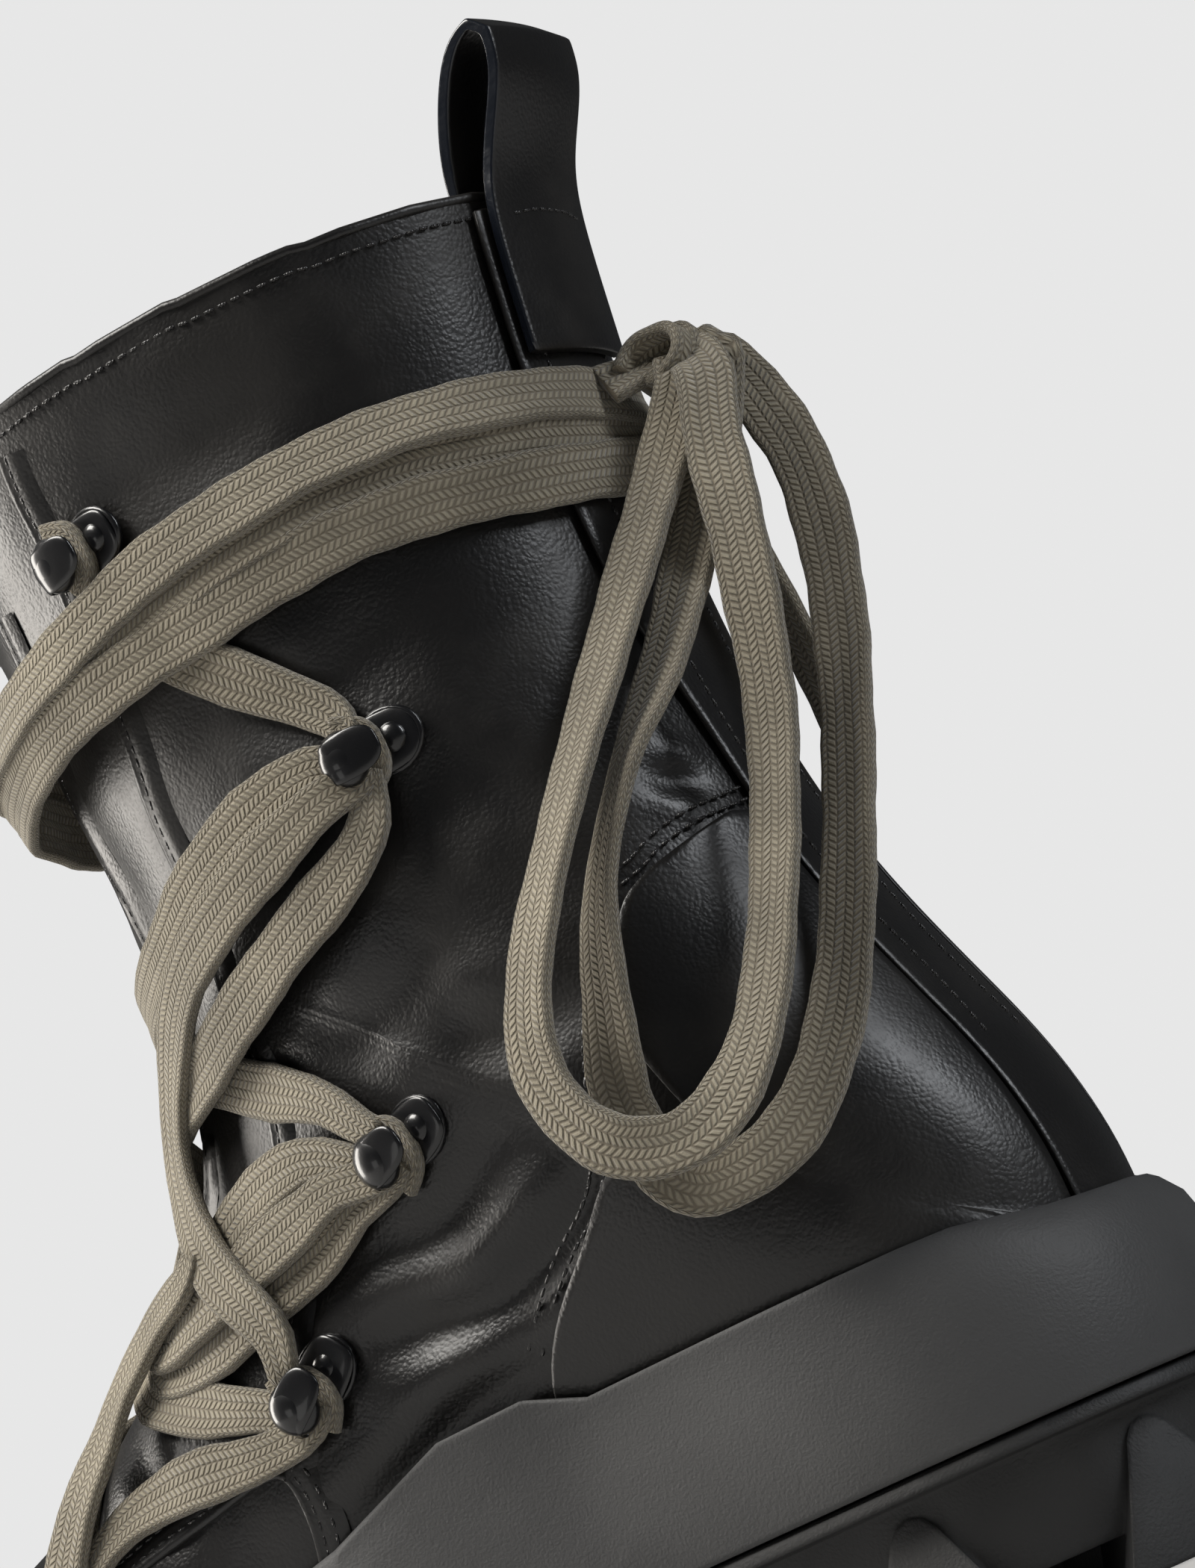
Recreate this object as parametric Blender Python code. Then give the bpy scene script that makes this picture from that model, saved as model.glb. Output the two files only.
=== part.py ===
"""A left lug sole boot with a leather upper, speed hooks and a flat lace.

Metres. +X points to the toe, +Y to the outer side of the foot and +Z up. The origin is on the
floor, under the middle of the heel.
"""

import math

import bmesh
import bpy
from mathutils import Vector
from mathutils.bvhtree import BVHTree

# Lengths and heights of the last
FOOT_LENGTH = 0.282
HEEL_BACK = -0.032
BALL_WIDTH = 0.098
HEEL_WIDTH = 0.064
VAMP_HEIGHT = 0.069
SHAFT_WIDTH = 0.084
SHAFT_HEIGHT = 0.240
BACK_HEIGHT = 0.237

# Where the upper's edge sits on the sole
SEAT_HEIGHT = 0.050
FOREPART_HEIGHT = 0.036
TOE_SPRING = 0.006

# Thicknesses and clearances
WALL = 0.0022
CLEARANCE = 0.0003
TONGUE_THICKNESS = 0.0035
TONGUE_RISE = 0.010
INSOLE_THICKNESS = 0.004

# The rubber sole
GROOVE_HEIGHT = 0.027
CORE_HEIGHT = 0.007
WELT = 0.0095
BAND_HEIGHT = 0.008
BAND_LIP = 0.0012
CREST_HEIGHT = 0.0055
WAIST_RISE = 0.006
RIM_HEIGHT = 0.0026
RECESS = 0.0045
LUG_PITCH = 0.035
LUG_TOP = 0.0216
LUG_SLOPE = math.radians(28)
LUG_CROWN = 0.0045
LUG_DEPTH = 0.021
LUG_PROUD = 0.0038
LUG_BATTER = 0.0035
LUG_TAPER = 0.45
BAR_WIDTH = 0.012
BAR_PITCH = 0.020
TREAD_ROOT = 0.004
HEEL_BREAST = HEEL_BACK + 0.285 * FOOT_LENGTH
WAIST_END = HEEL_BACK + 0.46 * FOOT_LENGTH

# Leather pieces laid over the upper, and the pull loop
STRIP_COLLAR = 0.0145
STRIP_ANKLE = 0.0105
STRIP_THICKNESS = 0.0010
LOOP_WIDTH = 0.026
LOOP_THICKNESS = 0.0020

# The speed hooks and the lace
HOOK_LENGTH = 0.0155
HOOK_WIDTH = 0.0105
HOOK_HEIGHT = 0.0062
HOOK_THICKNESS = 0.0012
LACE_WIDTH = 0.0084
LACE_THICKNESS = 0.0024

# How finely the curved walls are divided
SIDE_COLUMNS = 11

# Foot stations, toe to throat: shares of the foot's length, the vamp's height and the ball's width
FOOT_COLUMNS = ("top_x", "top_h", "base_x", "swing", "skew", "feather", "outer", "inner", "full", "gap")
FOOT_STATIONS = (
    (1.000, 0.030, 1.000, -0.102, 0.000, 0.000, 0.000, 0.000, 2.2, 0.06),
    (0.994, 0.155, 0.991, -0.102, -0.002, 0.130, 0.138, 0.138, 2.3, 0.06),
    (0.980, 0.265, 0.973, -0.099, -0.004, 0.228, 0.242, 0.242, 2.4, 0.06),
    (0.946, 0.360, 0.938, -0.092, -0.008, 0.334, 0.352, 0.352, 2.4, 0.06),
    (0.886, 0.430, 0.880, -0.077, -0.012, 0.420, 0.444, 0.444, 2.4, 0.06),
    (0.805, 0.490, 0.798, -0.056, -0.018, 0.474, 0.498, 0.498, 2.25, 0.06),
    (0.723, 0.570, 0.709, -0.031, -0.028, 0.489, 0.512, 0.510, 2.1, 0.06),
    (0.653, 0.680, 0.628, -0.010, -0.025, 0.464, 0.490, 0.484, 2.0, 0.06),
    (0.589, 0.800, 0.546, 0.005, -0.018, 0.418, 0.448, 0.438, 1.95, 0.075),
    (0.535, 0.895, 0.461, 0.015, -0.010, 0.372, 0.420, 0.408, 1.95, 0.10),
    (0.504, 1.000, 0.369, 0.020, -0.005, 0.337, 0.404, 0.394, 2.0, 0.12),
)

# Shaft stations, throat to collar: shares of the foot's length, the front and back rises,
# the heel's width for the feather edge, and the shaft's width
SHAFT_COLUMNS = ("top_x", "top_h", "base_x", "base_h", "feather", "outer", "inner", "full", "gap")
SHAFT_STATIONS = (
    (0.495, 0.105, 0.270, 0.000, 0.492, 0.476, 0.470, 2.0, 0.14),
    (0.493, 0.200, 0.170, 0.000, 0.500, 0.488, 0.488, 2.0, 0.15),
    (0.491, 0.285, 0.092, 0.000, 0.492, 0.494, 0.494, 2.05, 0.155),
    (0.491, 0.350, 0.043, 0.000, 0.406, 0.496, 0.496, 2.1, 0.16),
    (0.491, 0.395, 0.011, 0.000, 0.234, 0.498, 0.498, 2.1, 0.165),
    (0.491, 0.430, 0.000, 0.000, 0.000, 0.500, 0.500, 2.1, 0.17),
    (0.491, 0.465, 0.001, 0.070, 0.000, 0.500, 0.500, 2.1, 0.175),
    (0.492, 0.505, 0.012, 0.144, 0.000, 0.500, 0.500, 2.1, 0.18),
    (0.493, 0.545, 0.030, 0.214, 0.000, 0.500, 0.500, 2.1, 0.185),
    (0.494, 0.585, 0.050, 0.289, 0.000, 0.500, 0.500, 2.1, 0.19),
    (0.495, 0.625, 0.067, 0.364, 0.000, 0.502, 0.502, 2.1, 0.195),
    (0.496, 0.675, 0.080, 0.455, 0.000, 0.505, 0.505, 2.1, 0.20),
    (0.497, 0.725, 0.088, 0.551, 0.000, 0.508, 0.508, 2.1, 0.205),
    (0.498, 0.780, 0.091, 0.652, 0.000, 0.512, 0.512, 2.1, 0.21),
    (0.500, 0.845, 0.091, 0.759, 0.000, 0.520, 0.520, 2.1, 0.22),
    (0.502, 0.910, 0.086, 0.866, 0.000, 0.536, 0.536, 2.1, 0.23),
    (0.505, 1.000, 0.074, 1.000, 0.000, 0.566, 0.566, 2.1, 0.24),
)

THROAT_STATION = 7.6
COUNTER_START = 10.8
HEEL_STATION = len(FOOT_STATIONS) + 5
LAST_STATION = len(FOOT_STATIONS) + len(SHAFT_STATIONS) - 1

# From each of these stations on, how many rows the walls have per station
ROW_DENSITY = ((0.0, 1.5), (THROAT_STATION, 1.4), (HEEL_STATION - 2.0, 2.5), (float(HEEL_STATION), 1.4))


def smooth(low, high, value):
    """0 below low, 1 above high, and a soft step between."""
    share = min(max((value - low) / (high - low), 0.0), 1.0)
    return share * share * (3 - 2 * share)


def spring(x):
    """How far the sole lifts off the floor towards the toe."""
    start = HEEL_BACK + 0.80 * FOOT_LENGTH
    return TOE_SPRING * max(0.0, (x - start) / (HEEL_BACK + FOOT_LENGTH - start)) ** 2


def feather_height(x):
    """Height of the upper's lower edge, from the heel seat down to the forepart."""
    seat_end = HEEL_BACK + 0.30 * FOOT_LENGTH
    forepart = HEEL_BACK + 0.68 * FOOT_LENGTH
    fall = (SEAT_HEIGHT - FOREPART_HEIGHT) * smooth(seat_end, forepart, x)
    return SEAT_HEIGHT - fall + spring(x)


def foot_station(row):
    c = dict(zip(FOOT_COLUMNS, row))
    base_x = HEEL_BACK + c["base_x"] * FOOT_LENGTH
    base_z = feather_height(base_x)
    swing = c["swing"] * BALL_WIDTH
    return (
        HEEL_BACK + c["top_x"] * FOOT_LENGTH, 0.9 * swing, base_z + c["top_h"] * VAMP_HEIGHT,
        base_x, swing, base_z,
        c["skew"] * FOOT_LENGTH, c["feather"] * BALL_WIDTH,
        c["outer"] * BALL_WIDTH, c["inner"] * BALL_WIDTH, c["full"], c["gap"] * SHAFT_WIDTH,
    )


def shaft_station(row):
    c = dict(zip(SHAFT_COLUMNS, row))
    throat = foot_station(FOOT_STATIONS[-1])[2]
    return (
        HEEL_BACK + c["top_x"] * FOOT_LENGTH, 0.0, throat + c["top_h"] * (SHAFT_HEIGHT - throat),
        HEEL_BACK + c["base_x"] * FOOT_LENGTH, 0.0,
        SEAT_HEIGHT + c["base_h"] * (BACK_HEIGHT - SEAT_HEIGHT),
        0.0, c["feather"] * HEEL_WIDTH,
        c["outer"] * SHAFT_WIDTH, c["inner"] * SHAFT_WIDTH, c["full"], c["gap"] * SHAFT_WIDTH,
    )


STATIONS = [foot_station(row) for row in FOOT_STATIONS] + [shaft_station(row) for row in SHAFT_STATIONS]


def heel_feather(x):
    """Half width of the feather edge where it rounds the heel."""
    depth = 0.12 * FOOT_LENGTH
    share = min(max((HEEL_BACK + depth - x) / depth, 0.0), 1.0)
    return HEEL_WIDTH / 2 * (1 - share ** 2.2) ** (1 / 2.2)


def station(s):
    """The section at station number s, by a smooth curve through the table's rows."""
    i = min(max(int(math.floor(s)), 0), LAST_STATION - 1)
    t = s - i
    a, b, c, d = (STATIONS[min(max(i + k, 0), LAST_STATION)] for k in (-1, 0, 1, 2))
    if t > 1:
        return tuple(q + (q - p) * (t - 1) for p, q in zip(b, c))
    blend = []
    for k in range(len(b)):
        near, far = (c[k] - a[k]) / 2, (d[k] - b[k]) / 2
        blend.append(
            b[k] * (1 + 2 * t) * (1 - t) ** 2 + near * t * (1 - t) ** 2
            + c[k] * t * t * (3 - 2 * t) + far * t * t * (t - 1)
        )
    if HEEL_STATION - 3 <= s <= HEEL_STATION:
        blend[5] = SEAT_HEIGHT
        blend[7] = heel_feather(blend[3])
    return tuple(blend)


def power(value, exponent):
    return math.copysign(abs(value) ** exponent, value)


def on_last(s, w):
    """A point of the last: station s, and w from -1 (inner edge) over 0 (ridge) to 1 (outer edge)."""
    tx, ty, tz, bx, by, bz, skew, feather, outer, inner, full, _ = station(s)
    side = 1 if w >= 0 else -1
    half = outer if side > 0 else inner
    if half < 1e-6:
        return Vector((tx, ty, tz)).lerp(Vector((bx, by, bz)), min(abs(w), 1))
    feather = max(feather, 0.0) if s < HEEL_STATION else 0.0
    end = math.pi - math.asin(min(1.0, feather / half) ** (full / 2))
    angle = min(abs(w), 1.0) * end
    across = half * power(math.sin(angle), 2 / full)
    down = (1 - power(math.cos(angle), 2 / full)) / (1 - power(math.cos(end), 2 / full))
    point = Vector((tx, ty, tz)).lerp(Vector((bx, by, bz)), down)
    return point + Vector((side * skew * down, side * across, 0))


def outward(s, w):
    """The unit normal of the last at (s, w)."""
    if s < 0.02:
        return Vector((1, 0, 0))
    step_s, step_w = 0.04, 0.01
    low_end, high_end = (HEEL_STATION, LAST_STATION) if s >= HEEL_STATION else (0.01, HEEL_STATION)
    s0, s1 = max(s - step_s, low_end), min(s + step_s, high_end)
    low, high = w - step_w, w + step_w
    if abs(w) > 1 - step_w:
        low, high = (1 - 2 * step_w, 1.0) if w > 0 else (-1.0, -1 + 2 * step_w)
    along = on_last(s1, w) - on_last(s0, w)
    around = on_last(s, high) - on_last(s, low)
    normal = around.cross(along).normalized()
    if abs(w) > 1 - step_w:
        if s >= HEEL_STATION:
            normal.y = 0.0
        if s <= HEEL_STATION:
            normal.z = 0.0
    return normal.normalized()


def skin(s, w, offset=0.0):
    """A point offset from the last along its normal, outwards where offset is positive."""
    return on_last(min(s, LAST_STATION), w) + outward(min(s, LAST_STATION), w) * offset + (
        on_last(s, w) - on_last(min(s, LAST_STATION), w)
    )


def throat_edge(s):
    """The share w at which the throat's edge runs, or the ridge strip's edge where it is closed."""
    row = station(s)
    feather, half, full, gap = row[7], max(row[8], 1e-6), row[10], row[11]
    end = math.pi - math.asin(min(1.0, max(feather, 0.0) / half) ** (full / 2)) if s < HEEL_STATION else math.pi
    return math.asin(min(0.95, gap / half) ** (full / 2)) / end if half > gap else 0.3


def column(s, c):
    """The share w of grid column c at station s: 0 the ridge, 1 the throat's edge, then evenly down."""
    if c == 0:
        return 0.0
    edge = throat_edge(s)
    w = edge + (1 - edge) * (abs(c) - 1) / SIDE_COLUMNS
    return math.copysign(w, c)


def row_stations(first, last):
    """The stations of the walls' rows, always through the throat's end, the heel and the collar."""
    stops = [stop for stop, _ in ROW_DENSITY] + [float(LAST_STATION)]
    found = []
    for (a, density), b in zip(ROW_DENSITY, stops[1:]):
        count = max(1, round((b - a) * density))
        found += [a + (b - a) * k / count for k in range(count)]
    found.append(stops[-1])
    return [s for s in found if first - 1e-6 <= s <= last + 1e-6]


def material(name, colour, roughness, metallic=0.0):
    made = bpy.data.materials.new(name)
    made.use_nodes = True
    shader = made.node_tree.nodes["Principled BSDF"]
    shader.inputs["Base Color"].default_value = (*colour, 1)
    shader.inputs["Roughness"].default_value = roughness
    shader.inputs["Metallic"].default_value = metallic
    return made


def add_object(name, mesh_builder, finish):
    """Makes one closed, outward-facing mesh object from a filled bmesh.

    Every quad is split the same way, so that walls laid side by side keep their clearance.
    """
    bmesh.ops.triangulate(mesh_builder, faces=mesh_builder.faces, quad_method="FIXED")
    bmesh.ops.remove_doubles(mesh_builder, verts=mesh_builder.verts, dist=1e-7)
    bmesh.ops.recalc_face_normals(mesh_builder, faces=mesh_builder.faces)
    mesh = bpy.data.meshes.new(name)
    mesh_builder.to_mesh(mesh)
    mesh_builder.free()
    made = bpy.data.objects.new(name, mesh)
    bpy.context.scene.collection.objects.link(made)
    mesh.materials.append(finish)
    mesh.shade_smooth()
    mesh.set_sharp_from_angle(angle=math.radians(40))
    return made


def sheet_solid(name, cells, place, finish):
    """A closed solid from a sheet: each cell is a tuple of keys, place(key, level) its two skins."""
    build = bmesh.new()
    found = {}

    def vertex(key, level):
        if (key, level) not in found:
            found[key, level] = build.verts.new(place(key, level))
        return found[key, level]

    edges = {}
    for cell in cells:
        cell = [k for n, k in enumerate(cell) if k != cell[n - 1]]
        if len(cell) < 3:
            continue
        build.faces.new([vertex(k, 1) for k in cell])
        build.faces.new([vertex(k, 0) for k in reversed(cell)])
        for n, k in enumerate(cell):
            pair = (cell[n - 1], k)
            if (k, cell[n - 1]) in edges:
                del edges[k, cell[n - 1]]
            else:
                edges[pair] = True
    for a, b in edges:
        build.faces.new([vertex(b, 1), vertex(a, 1), vertex(a, 0), vertex(b, 0)])
    return add_object(name, build, finish)


def quad(key, i, c, d):
    """The cell between rows i and i + 1 and columns c and d, so that both sides split alike."""
    if c < 0:
        return (key(i, c), key(i + 1, c), key(i + 1, d), key(i, d))
    return (key(i, d), key(i, c), key(i + 1, c), key(i + 1, d))


def grid_cells(rows, columns, key):
    """Quads between neighbouring rows and columns."""
    return [quad(key, i, c, d) for i in range(len(rows) - 1) for c, d in zip(columns, columns[1:])]


def make_upper(finish):
    rows = row_stations(0, LAST_STATION)
    throat = rows.index(THROAT_STATION)
    edge = SIDE_COLUMNS + 1
    columns = range(-edge, edge + 1)

    def key(i, c):
        if i == 0:
            return (0, 0)
        if abs(c) == edge and rows[i] >= HEEL_STATION:
            return (i, edge)
        return (i, c)

    cells = [
        quad(key, i, c, c + 1)
        for i in range(len(rows) - 1)
        for c in columns[:-1]
        if not (i >= throat and c in (-1, 0))
    ]

    def place(k, level):
        s = rows[k[0]]
        return skin(s, column(s, k[1]), 0.0 if level else -WALL)

    return sheet_solid("upper", cells, place, finish)


def make_tongue(finish):
    rows = row_stations(THROAT_STATION - 1.4, LAST_STATION)
    rise = TONGUE_RISE / (on_last(LAST_STATION, 0) - on_last(LAST_STATION - 1, 0)).length
    rows.append(LAST_STATION + rise)
    shares = [(-2, 1), (-1, 1), (-1, 0.5), (0, 1), (1, 0.5), (1, 1), (2, 1)]
    outer = -(WALL + 1.6 * CLEARANCE)

    def place(k, level):
        s = rows[k[0]]
        c, share = shares[k[1]]
        w = column(min(s, LAST_STATION), c) * share
        return skin(s, w, outer if level else outer - TONGUE_THICKNESS)

    cells = grid_cells(rows, range(len(shares)), lambda i, c: (i, c))
    return sheet_solid("tongue", cells, place, finish)


def inner_edge(s, side):
    """The foot of the upper's inner skin at station s."""
    return skin(s, side, -(WALL + 7 * CLEARANCE))


def make_insole(finish):
    rows = row_stations(1.0, HEEL_STATION)

    def key(i, side):
        return (i, 1) if i == len(rows) - 1 else (i, side)

    def place(k, level):
        point = inner_edge(rows[k[0]], k[1])
        point.z = station(rows[k[0]])[5] + CLEARANCE + (INSOLE_THICKNESS if level else 0.0)
        return point

    cells = grid_cells(rows, (-1, 1), key)
    return sheet_solid("insole", cells, place, finish)


def outline_stations():
    """Station numbers along each side of the sole, closer where the heel curves."""
    foot = [0.0, 0.5, 1.0, 1.6, 2.2, 3.0, 4.0, 5.0, 6.0, 7.0, 8.0, 9.0, 10.0, 10.6]
    heel = [11.0, 11.4, 11.8, 12.3, 12.8, 13.3, 13.8, 14.3, 14.8, 15.2, 15.6, 15.85]
    return foot + heel + [float(HEEL_STATION)]


def outline_points():
    """The feather edge in plan, round from the toe along the outer side to the heel and back."""
    shares = outline_stations()
    outer = [on_last(s, 1) for s in shares]
    inner = [on_last(s, -1) for s in shares[1:-1]]
    return outer + inner[::-1]


def outline_normals(points):
    """The outward direction in plan at each outline point."""
    found = []
    for n, point in enumerate(points):
        before, after = points[n - 1], points[(n + 1) % len(points)]
        along = Vector((after.x - before.x, after.y - before.y, 0))
        found.append(Vector((along.y, -along.x, 0)).normalized())
    return found


def ladder(build, ring):
    """Closes a ring by rungs between its two sides; the ring starts at the toe."""
    count = len(ring)
    half = count // 2
    sides = [(ring[k], ring[-k % count]) for k in range(half + 1)]
    for (a, b), (c, d) in zip(sides, sides[1:]):
        corners = [a, c, d, b]
        corners = [v for n, v in enumerate(corners) if v is not corners[n - 1]]
        build.faces.new(corners)


def stacked_solid(name, rings, finish):
    """A closed solid from rings of points, bottom to top, each closed across by rungs."""
    build = bmesh.new()
    made = [[build.verts.new(p) for p in ring] for ring in rings]
    count = len(made[0])
    for low, high in zip(made, made[1:]):
        for n in range(count):
            m = (n + 1) % count
            build.faces.new([low[n], low[m], high[m], high[n]])
    ladder(build, made[0])
    ladder(build, made[-1])
    return add_object(name, build, finish)


def groove_height(x):
    return GROOVE_HEIGHT + spring(x)


def crest(x, outer_side):
    """The hump of the band's top edge in front of the heel."""
    corner = HEEL_BACK + 0.28 * FOOT_LENGTH
    peak = corner + 0.045 * FOOT_LENGTH
    foot = peak + 0.15 * FOOT_LENGTH
    rise = CREST_HEIGHT * (smooth(corner, peak, x) - smooth(peak, foot, x))
    return rise if outer_side else 0.7 * rise


def band_top(point):
    """Height of the sole cup's top edge beside an outline point."""
    seat_drop = 0.003 * smooth(HEEL_BACK + 0.06 * FOOT_LENGTH, HEEL_BACK, point.x)
    return feather_height(point.x) + BAND_HEIGHT - seat_drop + crest(point.x, point.y > 0)


def heel_step(x, z):
    """1 on the heel's panel and 0 ahead of the crease, which leans forward as it goes down."""
    crease = HEEL_BACK + 0.277 * FOOT_LENGTH + 0.5 * (SEAT_HEIGHT - z)
    return 1 - smooth(crease - 0.001, crease + 0.003, x)


# The sole cup's side, bottom to top: height as a share of the band, and how far it stands out,
# from 0 at the lip against the upper to 1 at the welt
CUP_PROFILE = ((0.0, 0.90), (0.02, 0.98), (0.30, 1.00), (0.62, 0.86), (0.84, 0.58), (0.96, 0.22), (1.0, 0.0))


def cup_ring(share, stand, last):
    """One ring of the sole cup's side; last finds how far the upper bulges over its edge."""
    points = outline_points()
    ring = []
    for point, normal in zip(points, outline_normals(points)):
        low = groove_height(point.x) + CLEARANCE / 2
        z = low + share * (band_top(point) - low)
        flat = Vector((point.x, point.y, 0))
        start = flat + normal * 3 * WELT + Vector((0, 0, max(z, point.z + CLEARANCE)))
        reach = last.ray_cast(start, -normal)[3]
        lip = (3 * WELT - reach if reach else 0.0) + BAND_LIP
        panel = 1 - 0.14 * (1 - heel_step(point.x, z))
        ring.append(flat + normal * (lip + (WELT * panel - lip) * stand) + Vector((0, 0, z)))
    return ring


def cup_room(s):
    """How far the sole cup keeps off the upper: more round the heel, where the counter lies between."""
    heel = smooth(COUNTER_START - 1.2, COUNTER_START - 0.4, s)
    return CLEARANCE * 1.4 + (STRIP_THICKNESS + CLEARANCE * 3) * heel


def last_form(name, room):
    """The closed form of the last, swollen by room(s) and let down by a clearance, for cutting."""
    rows = row_stations(0, LAST_STATION)
    edge = SIDE_COLUMNS + 1
    build = bmesh.new()
    grid = {}
    for i, s in enumerate(rows):
        for c in range(-edge, edge + 1):
            if i == 0:
                grid[i, c] = grid.get((0, -edge)) or build.verts.new(skin(s, 0, room(s)))
            elif c == edge and s >= HEEL_STATION:
                grid[i, c] = grid[i, -edge]
            else:
                grid[i, c] = build.verts.new(skin(s, column(s, c), room(s)))
    for i in range(len(rows) - 1):
        for c in range(-edge, edge):
            corners = quad(lambda a, b: grid[a, b], i, c, c + 1)
            corners = [v for n, v in enumerate(corners) if v is not corners[n - 1]]
            if len(corners) > 2:
                build.faces.new(corners)
    heel = max(i for i, s in enumerate(rows) if s <= HEEL_STATION + 1e-6)
    lowered = {}
    for i in range(heel + 1):
        for c in (-edge, edge):
            v = grid[i, c]
            if v not in lowered:
                lowered[v] = build.verts.new((v.co.x, v.co.y, station(rows[i])[5] - CLEARANCE))
    for c in (-edge, edge):
        for i in range(heel):
            build.faces.new([grid[i, c], grid[i + 1, c], lowered[grid[i + 1, c]], lowered[grid[i, c]]])
    for i in range(heel):
        corners = [lowered[grid[k, c]] for k, c in ((i, -edge), (i + 1, -edge), (i + 1, edge), (i, edge))]
        corners = [v for n, v in enumerate(corners) if v is not corners[n - 1]]
        build.faces.new(corners)
    top = [grid[len(rows) - 1, c] for c in range(-edge, edge)]
    build.faces.new(top)
    form = add_object(name, build, bpy.data.materials[0])
    form.hide_render = True
    form.display_type = "WIRE"
    return form


def cut(target, cutter, operation="DIFFERENCE"):
    """Applies one exact Boolean to a target as a modifier."""
    step = target.modifiers.new(cutter.name, "BOOLEAN")
    step.operation = operation
    step.object = cutter
    step.solver = "EXACT"
    return step


def make_sole_cup(finish):
    cavity = last_form("cup_cavity", cup_room)
    last = BVHTree.FromPolygons(
        [v.co for v in cavity.data.vertices], [tuple(p.vertices) for p in cavity.data.polygons]
    )
    cup = stacked_solid("sole_cup", [cup_ring(*row, last) for row in CUP_PROFILE], finish)
    cut(cup, cavity).use_self = True
    return cup


def core_height(x):
    """Underside of the outsole's core: low at heel and forepart, raised in the waist."""
    lift = smooth(HEEL_BREAST, HEEL_BREAST + 0.010, x) - smooth(WAIST_END - 0.025, WAIST_END, x)
    return CORE_HEIGHT + WAIST_RISE * lift + spring(x)


def sole_ring(height, stand):
    points = outline_points()
    ring = []
    for point, normal in zip(points, outline_normals(points)):
        flat = Vector((point.x, point.y, 0))
        ring.append(flat + normal * stand + Vector((0, 0, height(point.x))))
    return ring


def along_outline():
    """The outline's running length at each of its points, and the whole round."""
    points = outline_points()
    lengths = [0.0]
    for a, b in zip(points, points[1:] + points[:1]):
        lengths.append(lengths[-1] + math.hypot(b.x - a.x, b.y - a.y))
    return points, lengths


def outline_frame(distance):
    """The point and outward normal at a running length round the outline."""
    points, lengths = along_outline()
    normals = outline_normals(points)
    distance %= lengths[-1]
    n = max(k for k in range(len(points)) if lengths[k] <= distance)
    share = (distance - lengths[n]) / (lengths[n + 1] - lengths[n])
    m = (n + 1) % len(points)
    point = points[n].lerp(points[m], share)
    return Vector((point.x, point.y, 0)), normals[n].lerp(normals[m], share).normalized()


def lug_profile():
    """The face of one lug: leaning sides up to a round crown, as (across, up)."""
    turn = math.pi / 2 - LUG_SLOPE
    arc = [
        (LUG_CROWN * math.sin(turn * k / 2), LUG_TOP - LUG_CROWN + LUG_CROWN * math.cos(turn * k / 2))
        for k in range(-2, 3)
    ]
    half = arc[-1][0] + arc[-1][1] * math.tan(LUG_SLOPE)
    return [(-half, 0.0)] + arc + [(half, 0.0)]


def add_prism(build, profile, place):
    """One closed prism from a profile, between its outer and inner faces."""
    near = [build.verts.new(place(across, up, 0)) for across, up in profile]
    far = [build.verts.new(place(across, up, 1)) for across, up in profile]
    count = len(profile)
    for n in range(count):
        m = (n + 1) % count
        build.faces.new([near[n], near[m], far[m], far[n]])
    build.faces.new(near[::-1])
    build.faces.new(far)


def add_edge_lug(build, distance):
    """A buttress lug on the outline, standing proud of the recessed wall."""
    point, normal = outline_frame(distance)
    tangent = Vector((normal.y, -normal.x, 0))
    stand = WELT - RECESS + LUG_PROUD

    def place(across, up, inner):
        spot = point + normal * (stand - LUG_BATTER * up / LUG_TOP - inner * LUG_DEPTH)
        spot += tangent * across * (1 - LUG_TAPER * inner)
        roof = min(up, CORE_HEIGHT + TREAD_ROOT) if inner else up
        return spot + Vector((0, 0, roof + spring(point.x)))

    add_prism(build, lug_profile(), place)


def in_waist(x):
    return HEEL_BREAST - 0.008 < x < WAIST_END - 0.012


# Tread bars across the middle of the sole: place in heel or ball, half length, and slant
BAR_COLUMNS = ("from_heel", "from_ball", "half_length", "slant")
BARS = (
    (0, None, 0.0145, 0.0),
    (1, None, 0.0150, 0.0),
    (2, None, 0.0150, 0.0),
    (None, -3.5, 0.0150, 0.0),
    (None, -2.5, 0.0180, 0.16),
    (None, -1.5, 0.0220, -0.16),
    (None, -0.5, 0.0250, 0.16),
    (None, 0.5, 0.0250, -0.16),
    (None, 1.5, 0.0210, 0.16),
)


def add_bar(build, row):
    """A tread bar across the middle of the sole."""
    c = dict(zip(BAR_COLUMNS, row))
    if c["from_ball"] is None:
        x, y = c["from_heel"] * BAR_PITCH, 0.0
    else:
        x = HEEL_BACK + 0.71 * FOOT_LENGTH + c["from_ball"] * BAR_PITCH
        y = 0.85 * station(6.0 - 1.2 * c["from_ball"])[4]
    axis = Vector((math.sin(c["slant"]), math.cos(c["slant"]), 0))
    side = Vector((axis.y, -axis.x, 0))
    ends = c["half_length"]
    outline = ((-ends, -1), (ends, -1), (ends, 1), (-ends, 1))

    def place(across, along, inner):
        lift = (CORE_HEIGHT + TREAD_ROOT) * inner + spring(x)
        return Vector((x, y, lift)) + axis * across + side * along * BAR_WIDTH / 2

    add_prism(build, outline, place)


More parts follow.
